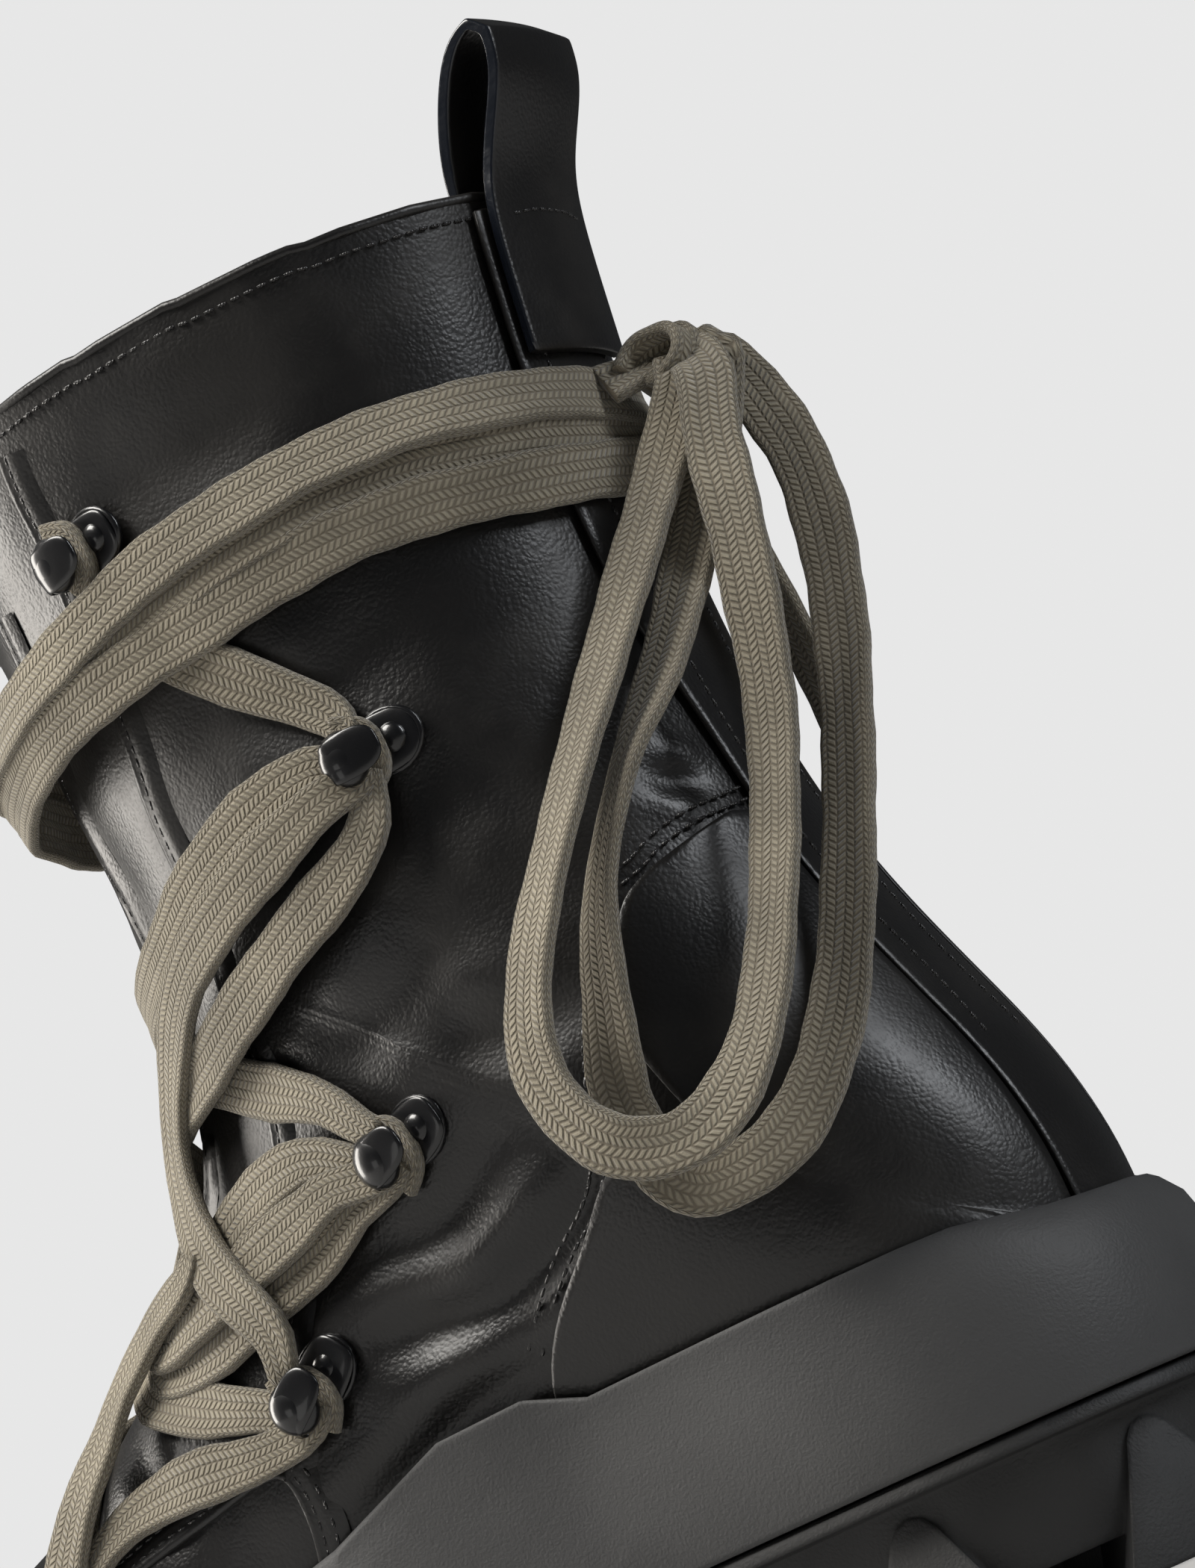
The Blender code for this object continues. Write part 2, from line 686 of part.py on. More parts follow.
def make_outsole(finish):
    rim = WELT * 0.98
    top = lambda x: groove_height(x) - CLEARANCE / 2
    rings = [
        sole_ring(core_height, WELT - RECESS - 0.0010),
        sole_ring(lambda x: core_height(x) + 0.0015, WELT - RECESS),
        sole_ring(lambda x: top(x) - RIM_HEIGHT - 0.0004, WELT - RECESS),
        sole_ring(lambda x: top(x) - RIM_HEIGHT, rim),
        sole_ring(lambda x: top(x) - 0.0006, rim - 0.0006),
        sole_ring(top, rim - 0.0016),
    ]
    outsole = stacked_solid("outsole", rings, finish)

    lugs = bmesh.new()
    points, lengths = along_outline()
    whole = lengths[-1]
    count = round(whole / LUG_PITCH)
    heel = lengths[len(outline_stations()) - 1]
    for k in range(count):
        distance = heel + (k + 0.43) * whole / count
        if not in_waist(outline_frame(distance)[0].x):
            add_edge_lug(lugs, distance)
    for row in BARS:
        add_bar(lugs, row)
    tread = add_object("tread", lugs, finish)
    tread.hide_render = True
    tread.display_type = "WIRE"
    cut(outsole, tread, "UNION").use_self = True
    return outsole


def at_width(s, y):
    """The share w at which the last is y across at station s, on its back half."""
    half, full = station(s)[8], station(s)[10]
    w = 1 - math.asin(min(1.0, (abs(y) / half) ** (full / 2))) / math.pi
    return math.copysign(w, y)


def strip_half(s):
    """Half width of the back strip, wider at the collar than over the ankle and heel."""
    return STRIP_ANKLE + (STRIP_COLLAR - STRIP_ANKLE) * smooth(HEEL_STATION + 6.5, LAST_STATION - 3, s)


def make_back_strip(finish):
    """The narrow strip that covers the upper's back seam, from the sole to the collar."""
    rows = [HEEL_STATION + 0.15] + row_stations(HEEL_STATION + 0.5, LAST_STATION)
    rows[-1] -= 0.15
    shares = (-1.0, -0.5, 0.0, 0.5, 1.0)

    def place(k, level):
        s = rows[k[0]]
        w = at_width(s, shares[k[1]] * strip_half(s)) if shares[k[1]] else 1.0
        return skin(s, w, CLEARANCE * 1.3 + level * STRIP_THICKNESS)

    cells = grid_cells(rows, range(len(shares)), lambda i, c: (i, c))
    return sheet_solid("back_strip", cells, place, finish)


# The front edge of the heel counter, from the sole up and back to the strip: station, share round
COUNTER_SEAM = (
    (COUNTER_START, 0.970), (10.95, 0.905), (11.3, 0.850), (11.9, 0.800), (12.7, 0.765), (13.7, 0.715),
    (14.7, 0.680), (15.9, 0.650), (17.3, 0.615), (18.6, 0.635), (19.7, 0.685), (20.4, 0.715),
    (20.9, 0.755), (21.3, 0.820), (21.6, 0.880),
)


def seam_share(s):
    """The share w of the counter's front edge at station s."""
    for (s0, w0), (s1, w1) in zip(COUNTER_SEAM, COUNTER_SEAM[1:]):
        if s <= s1:
            return w0 + (w1 - w0) * (s - s0) / (s1 - s0)
    return COUNTER_SEAM[-1][1]


def make_counter(name, side, finish):
    """The stiffened leather piece round the heel, one on each side of the back strip."""
    top = COUNTER_SEAM[-1][0]
    rows = [COUNTER_START] + row_stations(COUNTER_START + 0.1, top) + [top]
    columns = range(7)

    def place(k, level):
        s = rows[k[0]]
        front, back = seam_share(s), 0.99
        if s >= HEEL_STATION - 0.6:
            back = min(back, at_width(s, strip_half(s) + 3 * CLEARANCE))
        w = front + (back - front) * k[1] / (len(columns) - 1)
        return skin(s, side * w, CLEARANCE * 2 + level * STRIP_THICKNESS)

    cells = grid_cells(rows, columns, lambda i, c: (i, c))
    return sheet_solid(name, cells, place, finish)


# The pull loop's middle line behind the collar: distance back from the collar's edge, and up
LOOP_LINE = (
    (-0.0030, 0.004), (-0.0010, 0.011), (0.0030, 0.0190), (0.0070, 0.0235), (0.0105, 0.0245),
    (0.0130, 0.0220), (0.0125, 0.0165), (0.0090, 0.0105), (0.0055, 0.0050),
)

LOOP_TOP = max(up for back, up in LOOP_LINE)


def make_pull_loop(finish):
    """A leather tab folded over the collar's back: one leg inside, a loop and one leg outside."""
    shares = (-1.0, -0.5, 0.0, 0.5, 1.0)
    inside = -(WALL + CLEARANCE * 3)
    outside = CLEARANCE * 3 + STRIP_THICKNESS
    legs_in = [LAST_STATION - 1.6, LAST_STATION - 0.8, LAST_STATION - 0.1]
    legs_out = [LAST_STATION - 0.1, LAST_STATION - 0.6, LAST_STATION - 1.1]
    edge = on_last(LAST_STATION, 1)

    def across(s, c):
        y = shares[c] * LOOP_WIDTH / 2
        return at_width(s, y) if y else 1.0

    def place(k, level):
        n, c = k
        if n < len(legs_in):
            return skin(legs_in[n], across(legs_in[n], c), inside - level * LOOP_THICKNESS)
        n -= len(legs_in)
        if n >= len(LOOP_LINE):
            s = legs_out[n - len(LOOP_LINE)]
            return skin(s, across(s, c), outside + level * LOOP_THICKNESS)
        back, up = LOOP_LINE[n]
        before = LOOP_LINE[max(n - 1, 0)]
        after = LOOP_LINE[min(n + 1, len(LOOP_LINE) - 1)]
        along = Vector((-(after[0] - before[0]), 0, after[1] - before[1])).normalized()
        normal = Vector((along.z, 0, -along.x))
        curve = skin(LAST_STATION, across(LAST_STATION, c)).x - edge.x
        bow = curve * (1 - 0.5 * up / LOOP_TOP)
        middle = Vector((edge.x - back + bow, shares[c] * LOOP_WIDTH / 2, edge.z + up))
        return middle - normal * LOOP_THICKNESS * (0.5 - level)

    count = len(legs_in) + len(LOOP_LINE) + len(legs_out)
    cells = grid_cells(range(count), range(len(shares)), lambda i, c: (i, c))
    return sheet_solid("pull_loop", cells, place, finish)


# Speed hooks from the collar to the toe: station and share round on the outer side, and the turn
# of the hook's mouth from straight back, upwards positive
HOOKS = (
    (25.20, 0.440, 0.10),
    (22.30, 0.600, 0.05),
    (13.10, 0.592, 0.30),
    (10.10, 0.690, 0.65),
    (7.15, 0.690, 0.75),
)

# A hook's strip seen from the side: along its base towards the throat, and up, as shares of the
# hook's length and height, with its half width as a share of the base's
HOOK_STRIP = (
    (-0.50, 0.00, 0.45), (-0.42, 0.00, 0.80), (-0.25, 0.00, 1.00), (0.20, 0.00, 1.00), (0.36, 0.03, 0.85),
    (0.47, 0.25, 0.70), (0.50, 0.55, 0.66), (0.45, 0.86, 0.70), (0.32, 1.00, 0.78), (0.05, 1.00, 0.80),
    (-0.10, 0.97, 0.62), (-0.17, 0.95, 0.30),
)


def hook_frame(row, side):
    """Place, forward, sideways and outward directions of a hook: forward points to the throat."""
    s, w, turn = row
    place = on_last(s, side * w)
    normal = outward(s, side * w)
    back = Vector((-math.cos(turn), 0, math.sin(turn)))
    forward = -(back - normal * back.dot(normal)).normalized()
    return place, forward, normal.cross(forward), normal


def make_hook(name, row, side, finish):
    """One speed hook: an oval base, a neck on the throat's side and a lip back over the lace."""
    origin, forward, sideways, normal = hook_frame(row, side)
    lift = CLEARANCE * 2.5 + HOOK_THICKNESS / 2
    middle = [(a * HOOK_LENGTH, up * (HOOK_HEIGHT - HOOK_THICKNESS) + lift) for a, up, _ in HOOK_STRIP]

    def place(k, level):
        n, c = k
        before, after = middle[max(n - 1, 0)], middle[min(n + 1, len(middle) - 1)]
        along = Vector((after[0] - before[0], after[1] - before[1])).normalized()
        a = middle[n][0] + along.y * HOOK_THICKNESS * (0.5 - level)
        up = middle[n][1] - along.x * HOOK_THICKNESS * (0.5 - level)
        across = c * HOOK_STRIP[n][2] * HOOK_WIDTH / 2
        return origin + forward * a + normal * up + sideways * across

    cells = grid_cells(middle, (-1, 1), lambda i, c: (i, c))
    return sheet_solid(name, cells, place, finish)


def ribbon(build, spots):
    """A flat lace swept through spots: each a point, the direction its flat face looks, a width."""
    profile = ((-0.5, 0.0), (-0.38, -0.5), (0.38, -0.5), (0.5, 0.0), (0.38, 0.5), (-0.38, 0.5))
    rings = []
    for n, (point, face, width) in enumerate(spots):
        along = (spots[min(n + 1, len(spots) - 1)][0] - spots[max(n - 1, 0)][0]).normalized()
        face = (face - along * face.dot(along)).normalized()
        across = along.cross(face)
        rings.append([
            build.verts.new(point + across * a * width + face * b * LACE_THICKNESS) for a, b in profile
        ])
    for low, high in zip(rings, rings[1:]):
        for k in range(len(profile)):
            m = (k + 1) % len(profile)
            build.faces.new([low[k], low[m], high[m], high[k]])
    build.faces.new(rings[0][::-1])
    build.faces.new(rings[-1])


def make_crossing(name, low, high, finish):
    """Two strands of lace between two rows of hooks, joined where they cross over the tongue."""
    strands = []
    steps = 9
    for side, lift in ((1, 3 * CLEARANCE), (-1, 3 * CLEARANCE + LACE_THICKNESS / 2)):
        spots = []
        for n in range(steps):
            t = STRAND_END + (1 - 2 * STRAND_END) * n / (steps - 1)
            s = low[0] + (high[0] - low[0]) * t
            w = side * (low[1] * (1 - t) - high[1] * t)
            spots.append((skin(s, w, lift + LACE_THICKNESS / 2), outward(s, w), LACE_WIDTH))
        build = bmesh.new()
        ribbon(build, spots)
        strands.append(add_object(name if side > 0 else f"{name}_over", build, finish))
    strands[1].hide_render = True
    strands[1].display_type = "WIRE"
    cut(strands[0], strands[1], "UNION")


# The share of the way between two hooks at which a crossing's strand ends, clear of both
STRAND_END = 0.24

# The three turns of lace round the shaft, as one band: angle from the front in degrees, the band's
# middle height, its half height and how far it stands off the upper, in millimetres
WRAPS = (
    (0, 184.0, 8.5, 8.2), (28, 188.0, 9.0, 8.0), (50, 191.7, 9.0, 7.2), (66, 194.3, 9.0, 5.4),
    (84, 197.5, 9.5, 1.4), (104, 199.0, 9.5, 0.8), (122, 199.6, 9.5, 0.8), (139, 198.8, 9.0, 0.9),
    (153, 197.0, 9.0, 2.0), (170, 195.5, 9.0, 2.4), (180, 195.0, 9.0, 2.4),
)
# The band's cross-section: up in shares of its half height, out in lace thicknesses
WRAP_PROFILE = (
    (-1.0, 0.0), (-1.0, 1.0), (-0.38, 1.35), (-0.34, 0.9), (0.28, 1.35), (0.32, 0.9), (1.0, 1.1), (1.0, 0.0),
)
WRAP_STEPS = 30
SHAFT_MIDDLE = HEEL_BACK + 0.285 * FOOT_LENGTH


def wrap_at(angle):
    """The band's middle height, half height and stand-off at an angle from the front, either side."""
    turn = abs(angle)
    for low, high in zip(WRAPS, WRAPS[1:]):
        if turn <= high[0]:
            t = (turn - low[0]) / (high[0] - low[0])
            return [(a + (b - a) * t) / 1000 for a, b in zip(low[1:], high[1:])]


def make_wraps(finish):
    """The lace's turns round the shaft, lying edge over edge."""
    form = last_form("shaft_form", lambda s: 0.0)
    surface = BVHTree.FromPolygons(
        [v.co for v in form.data.vertices], [tuple(p.vertices) for p in form.data.polygons]
    )
    bpy.data.objects.remove(form)
    build = bmesh.new()
    rings = []
    for n in range(WRAP_STEPS):
        angle = -180 + 360 * n / WRAP_STEPS
        middle, half, off = wrap_at(angle)
        turn = math.radians(angle)
        ray = Vector((math.cos(turn), math.sin(turn), 0))
        ring = []
        for up, out in WRAP_PROFILE:
            z = middle + up * half
            reach = surface.ray_cast(Vector((SHAFT_MIDDLE, 0, z)), ray)[3]
            axis = Vector((SHAFT_MIDDLE, 0, z))
            ring.append(build.verts.new(axis + ray * (reach + off + out * LACE_THICKNESS)))
        rings.append(ring)
    for low, high in zip(rings, rings[1:] + rings[:1]):
        for k in range(len(WRAP_PROFILE)):
            m = (k + 1) % len(WRAP_PROFILE)
            build.faces.new([low[k], low[m], high[m], high[k]])
    add_object("lace_wraps", build, finish)


# The bow behind the shaft, in millimetres: both loops, the two free ends and the knot
LOOP_A = (
    (-24.0, 2.7, 198.5), (-18.0, 11.5, 183.0), (-7.0, 26.0, 162.0), (4.5, 43.0, 138.0), (15.5, 51.5, 118.0),
    (19.5, 54.5, 102.5), (13.0, 56.0, 89.0), (1.0, 53.5, 84.5), (-9.5, 46.5, 92.0), (-17.0, 36.0, 110.0),
    (-23.0, 21.0, 139.0), (-27.5, 15.5, 165.0), (-28.5, 12.0, 186.0),
)
LOOP_B = (
    (-30.5, -3.0, 204.0), (-24.5, 2.5, 186.0), (-13.0, 20.5, 158.0), (-3.5, 34.0, 141.0), (5.0, 41.0, 125.0),
    (9.5, 45.5, 108.0), (13.0, 46.5, 93.0), (8.5, 47.0, 79.5), (-1.5, 44.5, 77.5), (-11.5, 38.5, 83.0),
    (-20.0, 28.0, 99.0), (-28.5, 13.0, 130.0), (-33.5, 2.0, 157.0), (-34.5, -3.0, 176.0), (-31.5, -5.5, 190.0),
)
END_A = (
    (-21.2, -7.3, 191.8), (-20.8, -10.2, 188.9), (-15.0, -15.5, 176.0), (-12.5, -22.0, 160.0), (-9.5, -29.0, 146.0),
    (-4.0, -37.0, 134.5), (4.0, -42.0, 126.5), (11.0, -45.0, 117.0),
)
END_B = (
    (-20.8, -10.5, 195.5), (-20.5, -13.3, 192.7), (-12.5, -25.0, 187.0), (-8.0, -31.0, 176.0), (-7.0, -35.0, 160.0), (-5.0, -37.0, 150.0),
)
KNOT = ((-12.9, 0.0, 201.5), (-17.5, -0.5, 201.5), (-22.1, -3.1, 199.0), (-21.0, -8.0, 194.5))
CORD_RADIUS = 0.0021
KNOT_RADIUS = 0.0042


def make_cord(name, points, radius, finish):
    """A round length of lace through the points, smoothed between them."""
    places = [Vector(point) / 1000 for point in points]
    path = []
    for n in range(len(places) - 1):
        before = places[max(n - 1, 0)]
        low = places[n]
        high = places[n + 1]
        after = places[min(n + 2, len(places) - 1)]
        for t in (0.0, 0.5):
            lean = (high - before) * t + (before * 2 - low * 5 + high * 4 - after) * t**2
            path.append(low + (lean + (low * 3 - before - high * 3 + after) * t**3) / 2)
    path.append(places[-1])
    curve = bpy.data.curves.new(name, "CURVE")
    curve.dimensions = "3D"
    curve.bevel_depth = radius
    curve.bevel_resolution = 2
    curve.use_fill_caps = True
    curve.materials.append(finish)
    spline = curve.splines.new("POLY")
    spline.points.add(len(path) - 1)
    for spot, place in zip(spline.points, path):
        spot.co = (*place, 1)
    cord = bpy.data.objects.new(name, curve)
    bpy.context.scene.collection.objects.link(cord)


def main():
    for old in list(bpy.data.objects):
        bpy.data.objects.remove(old)
    leather = material("black leather", (0.012, 0.012, 0.013), 0.42)
    lining = material("black lining", (0.03, 0.03, 0.03), 0.8)
    rubber = material("charcoal rubber", (0.035, 0.035, 0.036), 0.55)
    make_upper(leather)
    make_tongue(leather)
    make_insole(lining)
    make_sole_cup(rubber)
    make_outsole(rubber)
    make_back_strip(leather)
    make_counter("counter_outer", 1, leather)
    make_counter("counter_inner", -1, leather)
    make_pull_loop(leather)
    enamel = material("black enamel", (0.01, 0.01, 0.012), 0.25, 0.6)
    lace = material("taupe lace", (0.30, 0.26, 0.20), 0.85)
    for n, row in enumerate(HOOKS, 1):
        make_hook(f"hook_outer_{n}", row, 1, enamel)
        make_hook(f"hook_inner_{n}", row, -1, enamel)
    for n, (low, high) in enumerate(zip(HOOKS[1:], HOOKS), 1):
        make_crossing(f"lace_crossing_{n}", low, high, lace)
    make_wraps(lace)
    runs = (("lace_loop_a", LOOP_A), ("lace_loop_b", LOOP_B), ("lace_end_a", END_A), ("lace_end_b", END_B))
    for name, points in runs:
        make_cord(name, points, CORD_RADIUS, lace)
    make_cord("lace_knot", KNOT, KNOT_RADIUS, lace)


main()
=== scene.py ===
"""Looks of the lug sole boot: leather, lace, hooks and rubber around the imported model."""

import math

import bmesh
import bpy
import numpy as np
from mathutils import Matrix, Vector
from mathutils.bvhtree import BVHTree


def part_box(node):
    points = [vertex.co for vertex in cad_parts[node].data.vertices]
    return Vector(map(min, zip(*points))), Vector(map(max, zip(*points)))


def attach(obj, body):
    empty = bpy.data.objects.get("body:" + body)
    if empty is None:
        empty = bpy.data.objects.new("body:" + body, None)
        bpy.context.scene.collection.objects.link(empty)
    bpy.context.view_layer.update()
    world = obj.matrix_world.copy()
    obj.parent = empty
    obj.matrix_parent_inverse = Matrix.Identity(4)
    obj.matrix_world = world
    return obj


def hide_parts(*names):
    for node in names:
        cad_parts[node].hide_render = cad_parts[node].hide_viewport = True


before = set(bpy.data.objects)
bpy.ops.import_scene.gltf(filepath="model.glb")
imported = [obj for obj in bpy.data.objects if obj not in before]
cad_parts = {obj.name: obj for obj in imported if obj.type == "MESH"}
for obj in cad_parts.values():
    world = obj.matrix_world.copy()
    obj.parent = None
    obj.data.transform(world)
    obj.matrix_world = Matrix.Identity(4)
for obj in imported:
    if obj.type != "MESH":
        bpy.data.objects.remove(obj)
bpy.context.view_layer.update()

# Camera. The photograph is taken from behind the outer side, close to the floor and looking
# slightly up, with the camera rolled so that the boot leans forward in the frame.
CAMERA_TARGET = Vector((0.0291, -0.01735, 0.151))
CAMERA_AZIMUTH = math.radians(118)
CAMERA_ELEVATION = math.radians(-10)
CAMERA_ROLL = math.radians(24)
CAMERA_DISTANCE = 0.8
LENS_MM = 112.5

away = Vector((
    math.cos(CAMERA_AZIMUTH) * math.cos(CAMERA_ELEVATION),
    math.sin(CAMERA_AZIMUTH) * math.cos(CAMERA_ELEVATION),
    math.sin(CAMERA_ELEVATION),
))
right = Vector((0, 0, 1)).cross(away).normalized()
upright = away.cross(right)
camera_right = right * math.cos(CAMERA_ROLL) - upright * math.sin(CAMERA_ROLL)
camera_up = upright * math.cos(CAMERA_ROLL) + right * math.sin(CAMERA_ROLL)
lens = bpy.data.cameras.new("camera")
lens.lens = LENS_MM
lens.sensor_width = 36
camera = bpy.data.objects.new("camera", lens)
camera.matrix_world = Matrix.LocRotScale(
    CAMERA_TARGET + away * CAMERA_DISTANCE,
    Matrix((camera_right, camera_up, away)).transposed().to_quaternion(),
    None,
)
bpy.context.scene.collection.objects.link(camera)
bpy.context.scene.camera = camera

# Stage. A pale seamless paper under and behind the boot, lit by the room and four soft boxes:
# a broad one overhead, a tall one ahead of the toe, a thin one behind the heel and a weak fill.
PAPER = (0.80, 0.80, 0.80, 1)
PAPER_HALF = 2.5
ROOM_GLOW = 0.055


def node(tree, kind, options=None, values=None):
    """A shader node with its settings, and each input's value or the socket that feeds it."""
    made = tree.nodes.new(kind)
    for key, value in (options or {}).items():
        setattr(made, key, value)
    for key, value in (values or {}).items():
        if isinstance(value, bpy.types.NodeSocket):
            tree.links.new(value, made.inputs[key])
        else:
            made.inputs[key].default_value = value
    return made


def finish_of(name):
    """A new material with its tree cleared, and its output node."""
    made = bpy.data.materials.new(name)
    made.use_nodes = True
    made.node_tree.nodes.clear()
    return made, made.node_tree, made.node_tree.nodes.new("ShaderNodeOutputMaterial")


def piece_from(name, build, finish):
    """A piece of the boot from a bmesh, smooth shaded, riding with the boot."""
    mesh = bpy.data.meshes.new(name)
    build.to_mesh(mesh)
    build.free()
    mesh.materials.append(finish)
    mesh.polygons.foreach_set("use_smooth", [True] * len(mesh.polygons))
    made = bpy.data.objects.new(name, mesh)
    bpy.context.scene.collection.objects.link(made)
    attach(made, "root")
    return made


paper, tree, output = finish_of("seamless paper")
mottle = node(tree, "ShaderNodeTexNoise", values={"Scale": 3.0, "Detail": 2.0})
shade = node(tree, "ShaderNodeMapRange", values={
    "Value": mottle.outputs["Fac"], "To Min": 0.40, "To Max": 0.44,
})
plain = node(tree, "ShaderNodeBsdfPrincipled", values={
    "Base Color": shade.outputs["Result"], "Roughness": 0.9,
})
tree.links.new(plain.outputs[0], output.inputs["Surface"])
build = bmesh.new()
corners = [
    build.verts.new((x * PAPER_HALF, y * PAPER_HALF, 0))
    for x, y in ((-1, -1), (1, -1), (1, 1), (-1, 1))
]
build.faces.new(corners)
floor = piece_from("paper_floor", build, paper)

world = bpy.data.worlds.new("studio")
world.use_nodes = True
bpy.context.scene.world = world
room = world.node_tree
backdrop = room.nodes["Background"]
backdrop.inputs["Color"].default_value = PAPER
glow = node(room, "ShaderNodeBackground", values={
    "Color": (0.92, 0.96, 1.0, 1), "Strength": ROOM_GLOW,
})
seen = node(room, "ShaderNodeLightPath")
shown = node(room, "ShaderNodeMixShader", values={
    0: seen.outputs["Is Camera Ray"], 1: glow.outputs[0], 2: backdrop.outputs[0],
})
room.links.new(shown.outputs[0], room.nodes["World Output"].inputs["Surface"])
bpy.context.scene.view_settings.view_transform = "Standard"

# Name, place, point it looks at, width and height, power, colour
SOFT_BOXES = (
    ("overhead", (0.42, 0.42, 1.05), (0.04, 0.0, 0.12), (0.6, 0.5), 15.0, (1.0, 0.97, 0.92)),
    ("ahead", (1.05, 0.16, 0.36), (0.06, 0.0, 0.13), (0.34, 0.75), 8.5, (1.0, 0.95, 0.88)),
    ("behind", (-0.85, 0.02, 0.62), (0.0, 0.0, 0.12), (0.12, 0.6), 4.0, (0.93, 0.96, 1.0)),
    ("fill", (0.55, 1.00, 0.10), (0.04, 0.0, 0.12), (0.3, 0.3), 0.3, (1.0, 0.98, 0.95)),
)
for name, place, aim, size, power, colour in SOFT_BOXES:
    light = bpy.data.lights.new(name, "AREA")
    light.shape = "RECTANGLE"
    light.size, light.size_y = size
    light.energy = power
    light.color = colour
    lamp = bpy.data.objects.new(name, light)
    lamp.location = place
    lamp.rotation_euler = (Vector(aim) - Vector(place)).to_track_quat("-Z", "Y").to_euler()
    bpy.context.scene.collection.objects.link(lamp)


# Bow. The flat braided lace leaves the knot behind the shaft in two long hanging loops on the outer
# side, and its two free ends fall down the inner side. It is a soft cotton braid, taupe and matt.
LACE_WIDTH = 0.0094
LACE_THICKNESS = 0.0020
BRAID_PITCH = 0.00115
BRAID_RIBS = 12
TAUPE = (0.335, 0.300, 0.228, 1)
# The colour that the gaps between the braid's yarns are darkened towards: painted shade in the weave's
# hollows
TAUPE_PAINTED_SHADE = (0.150, 0.125, 0.092, 1)
# Points of each run in millimetres, with the turn of its flat face in degrees: those of the solids,
# but for the ends of the two loops, which run on into the knot
LOOP_A = (
    (-21.5, -5.5, 199.5, 10), (-25.0, 1.0, 199.5, 20), (-24.5, 6.0, 194.0, 30), (-18.0, 11.5, 183.0, 38),
    (-7.0, 26.0, 162.0, 46), (4.5, 43.0, 138.0, 58), (15.5, 51.5, 118.0, 50), (19.5, 54.5, 102.5, 34),
    (13.0, 56.0, 89.0, 12), (1.0, 53.5, 84.5, -16), (-9.5, 46.5, 92.0, -38), (-17.0, 36.0, 110.0, -46),
    (-23.0, 21.0, 139.0, -38), (-27.5, 15.5, 165.0, -22), (-28.5, 10.0, 184.0, -4), (-29.0, 4.0, 196.0, 8),
    (-23.5, -3.0, 202.0, 14),
)
LOOP_B = (
    (-23.0, -7.0, 200.0, 0), (-28.5, -2.5, 198.5, 4), (-24.5, 2.5, 186.0, 20), (-13.0, 20.5, 158.0, 44),
    (-3.5, 34.0, 141.0, 72), (5.0, 41.0, 125.0, 66), (9.5, 45.5, 108.0, 40), (13.0, 46.5, 93.0, 14),
    (8.5, 47.0, 79.5, -4), (-1.5, 44.5, 77.5, -14), (-11.5, 38.5, 83.0, -20), (-20.0, 28.0, 99.0, -30),
    (-28.5, 13.0, 130.0, -38), (-33.5, 2.0, 157.0, -24), (-34.5, -3.0, 176.0, -6), (-31.5, -5.5, 190.0, 8),
    (-27.0, -8.0, 199.0, 16), (-21.5, -8.5, 201.0, 16),
)
END_A = (
    (-21.2, -7.3, 191.8, 80), (-20.8, -10.2, 188.9, 78), (-15.0, -15.5, 176.0, 70),
    (-12.5, -22.0, 160.0, 60), (-9.5, -29.0, 146.0, 60), (-4.0, -37.0, 134.5, 70),
    (4.0, -42.0, 126.5, 80), (11.0, -45.0, 117.0, 90),
)
END_B = (
    (-20.8, -10.5, 195.5, 70), (-20.5, -13.3, 192.7, 80), (-12.5, -25.0, 187.0, 90),
    (-8.0, -31.0, 176.0, 90), (-7.0, -35.0, 160.0, 90), (-5.0, -37.0, 150.0, 95),
)
# Half of the braid's cross-section, from one edge over the front to the other: across and out
BRAID_PROFILE = (
    (-0.50, 0.00), (-0.492, 0.30), (-0.465, 0.45), (-0.41, 0.50), (-0.20, 0.49), (0.0, 0.40), (0.20, 0.49),
    (0.41, 0.50), (0.465, 0.45), (0.492, 0.30), (0.50, 0.00),
)


def eased(rows, step):
    """Rows of numbers smoothed into a curve with about one row per step, in the rows' own units."""
    rows = [np.array(row, float) for row in rows]
    out = []
    for n in range(len(rows) - 1):
        before = rows[max(n - 1, 0)]
        low = rows[n]
        high = rows[n + 1]
        after = rows[min(n + 2, len(rows) - 1)]
        parts = max(1, round(np.linalg.norm(high[:3] - low[:3]) / step))
        for k in range(parts):
            t = k / parts
            pull = (high - before) * t + (2 * before - 5 * low + 4 * high - after) * t**2
            out.append(low + (pull + (3 * low - before - 3 * high + after) * t**3) / 2)
    out.append(rows[-1])
    return out


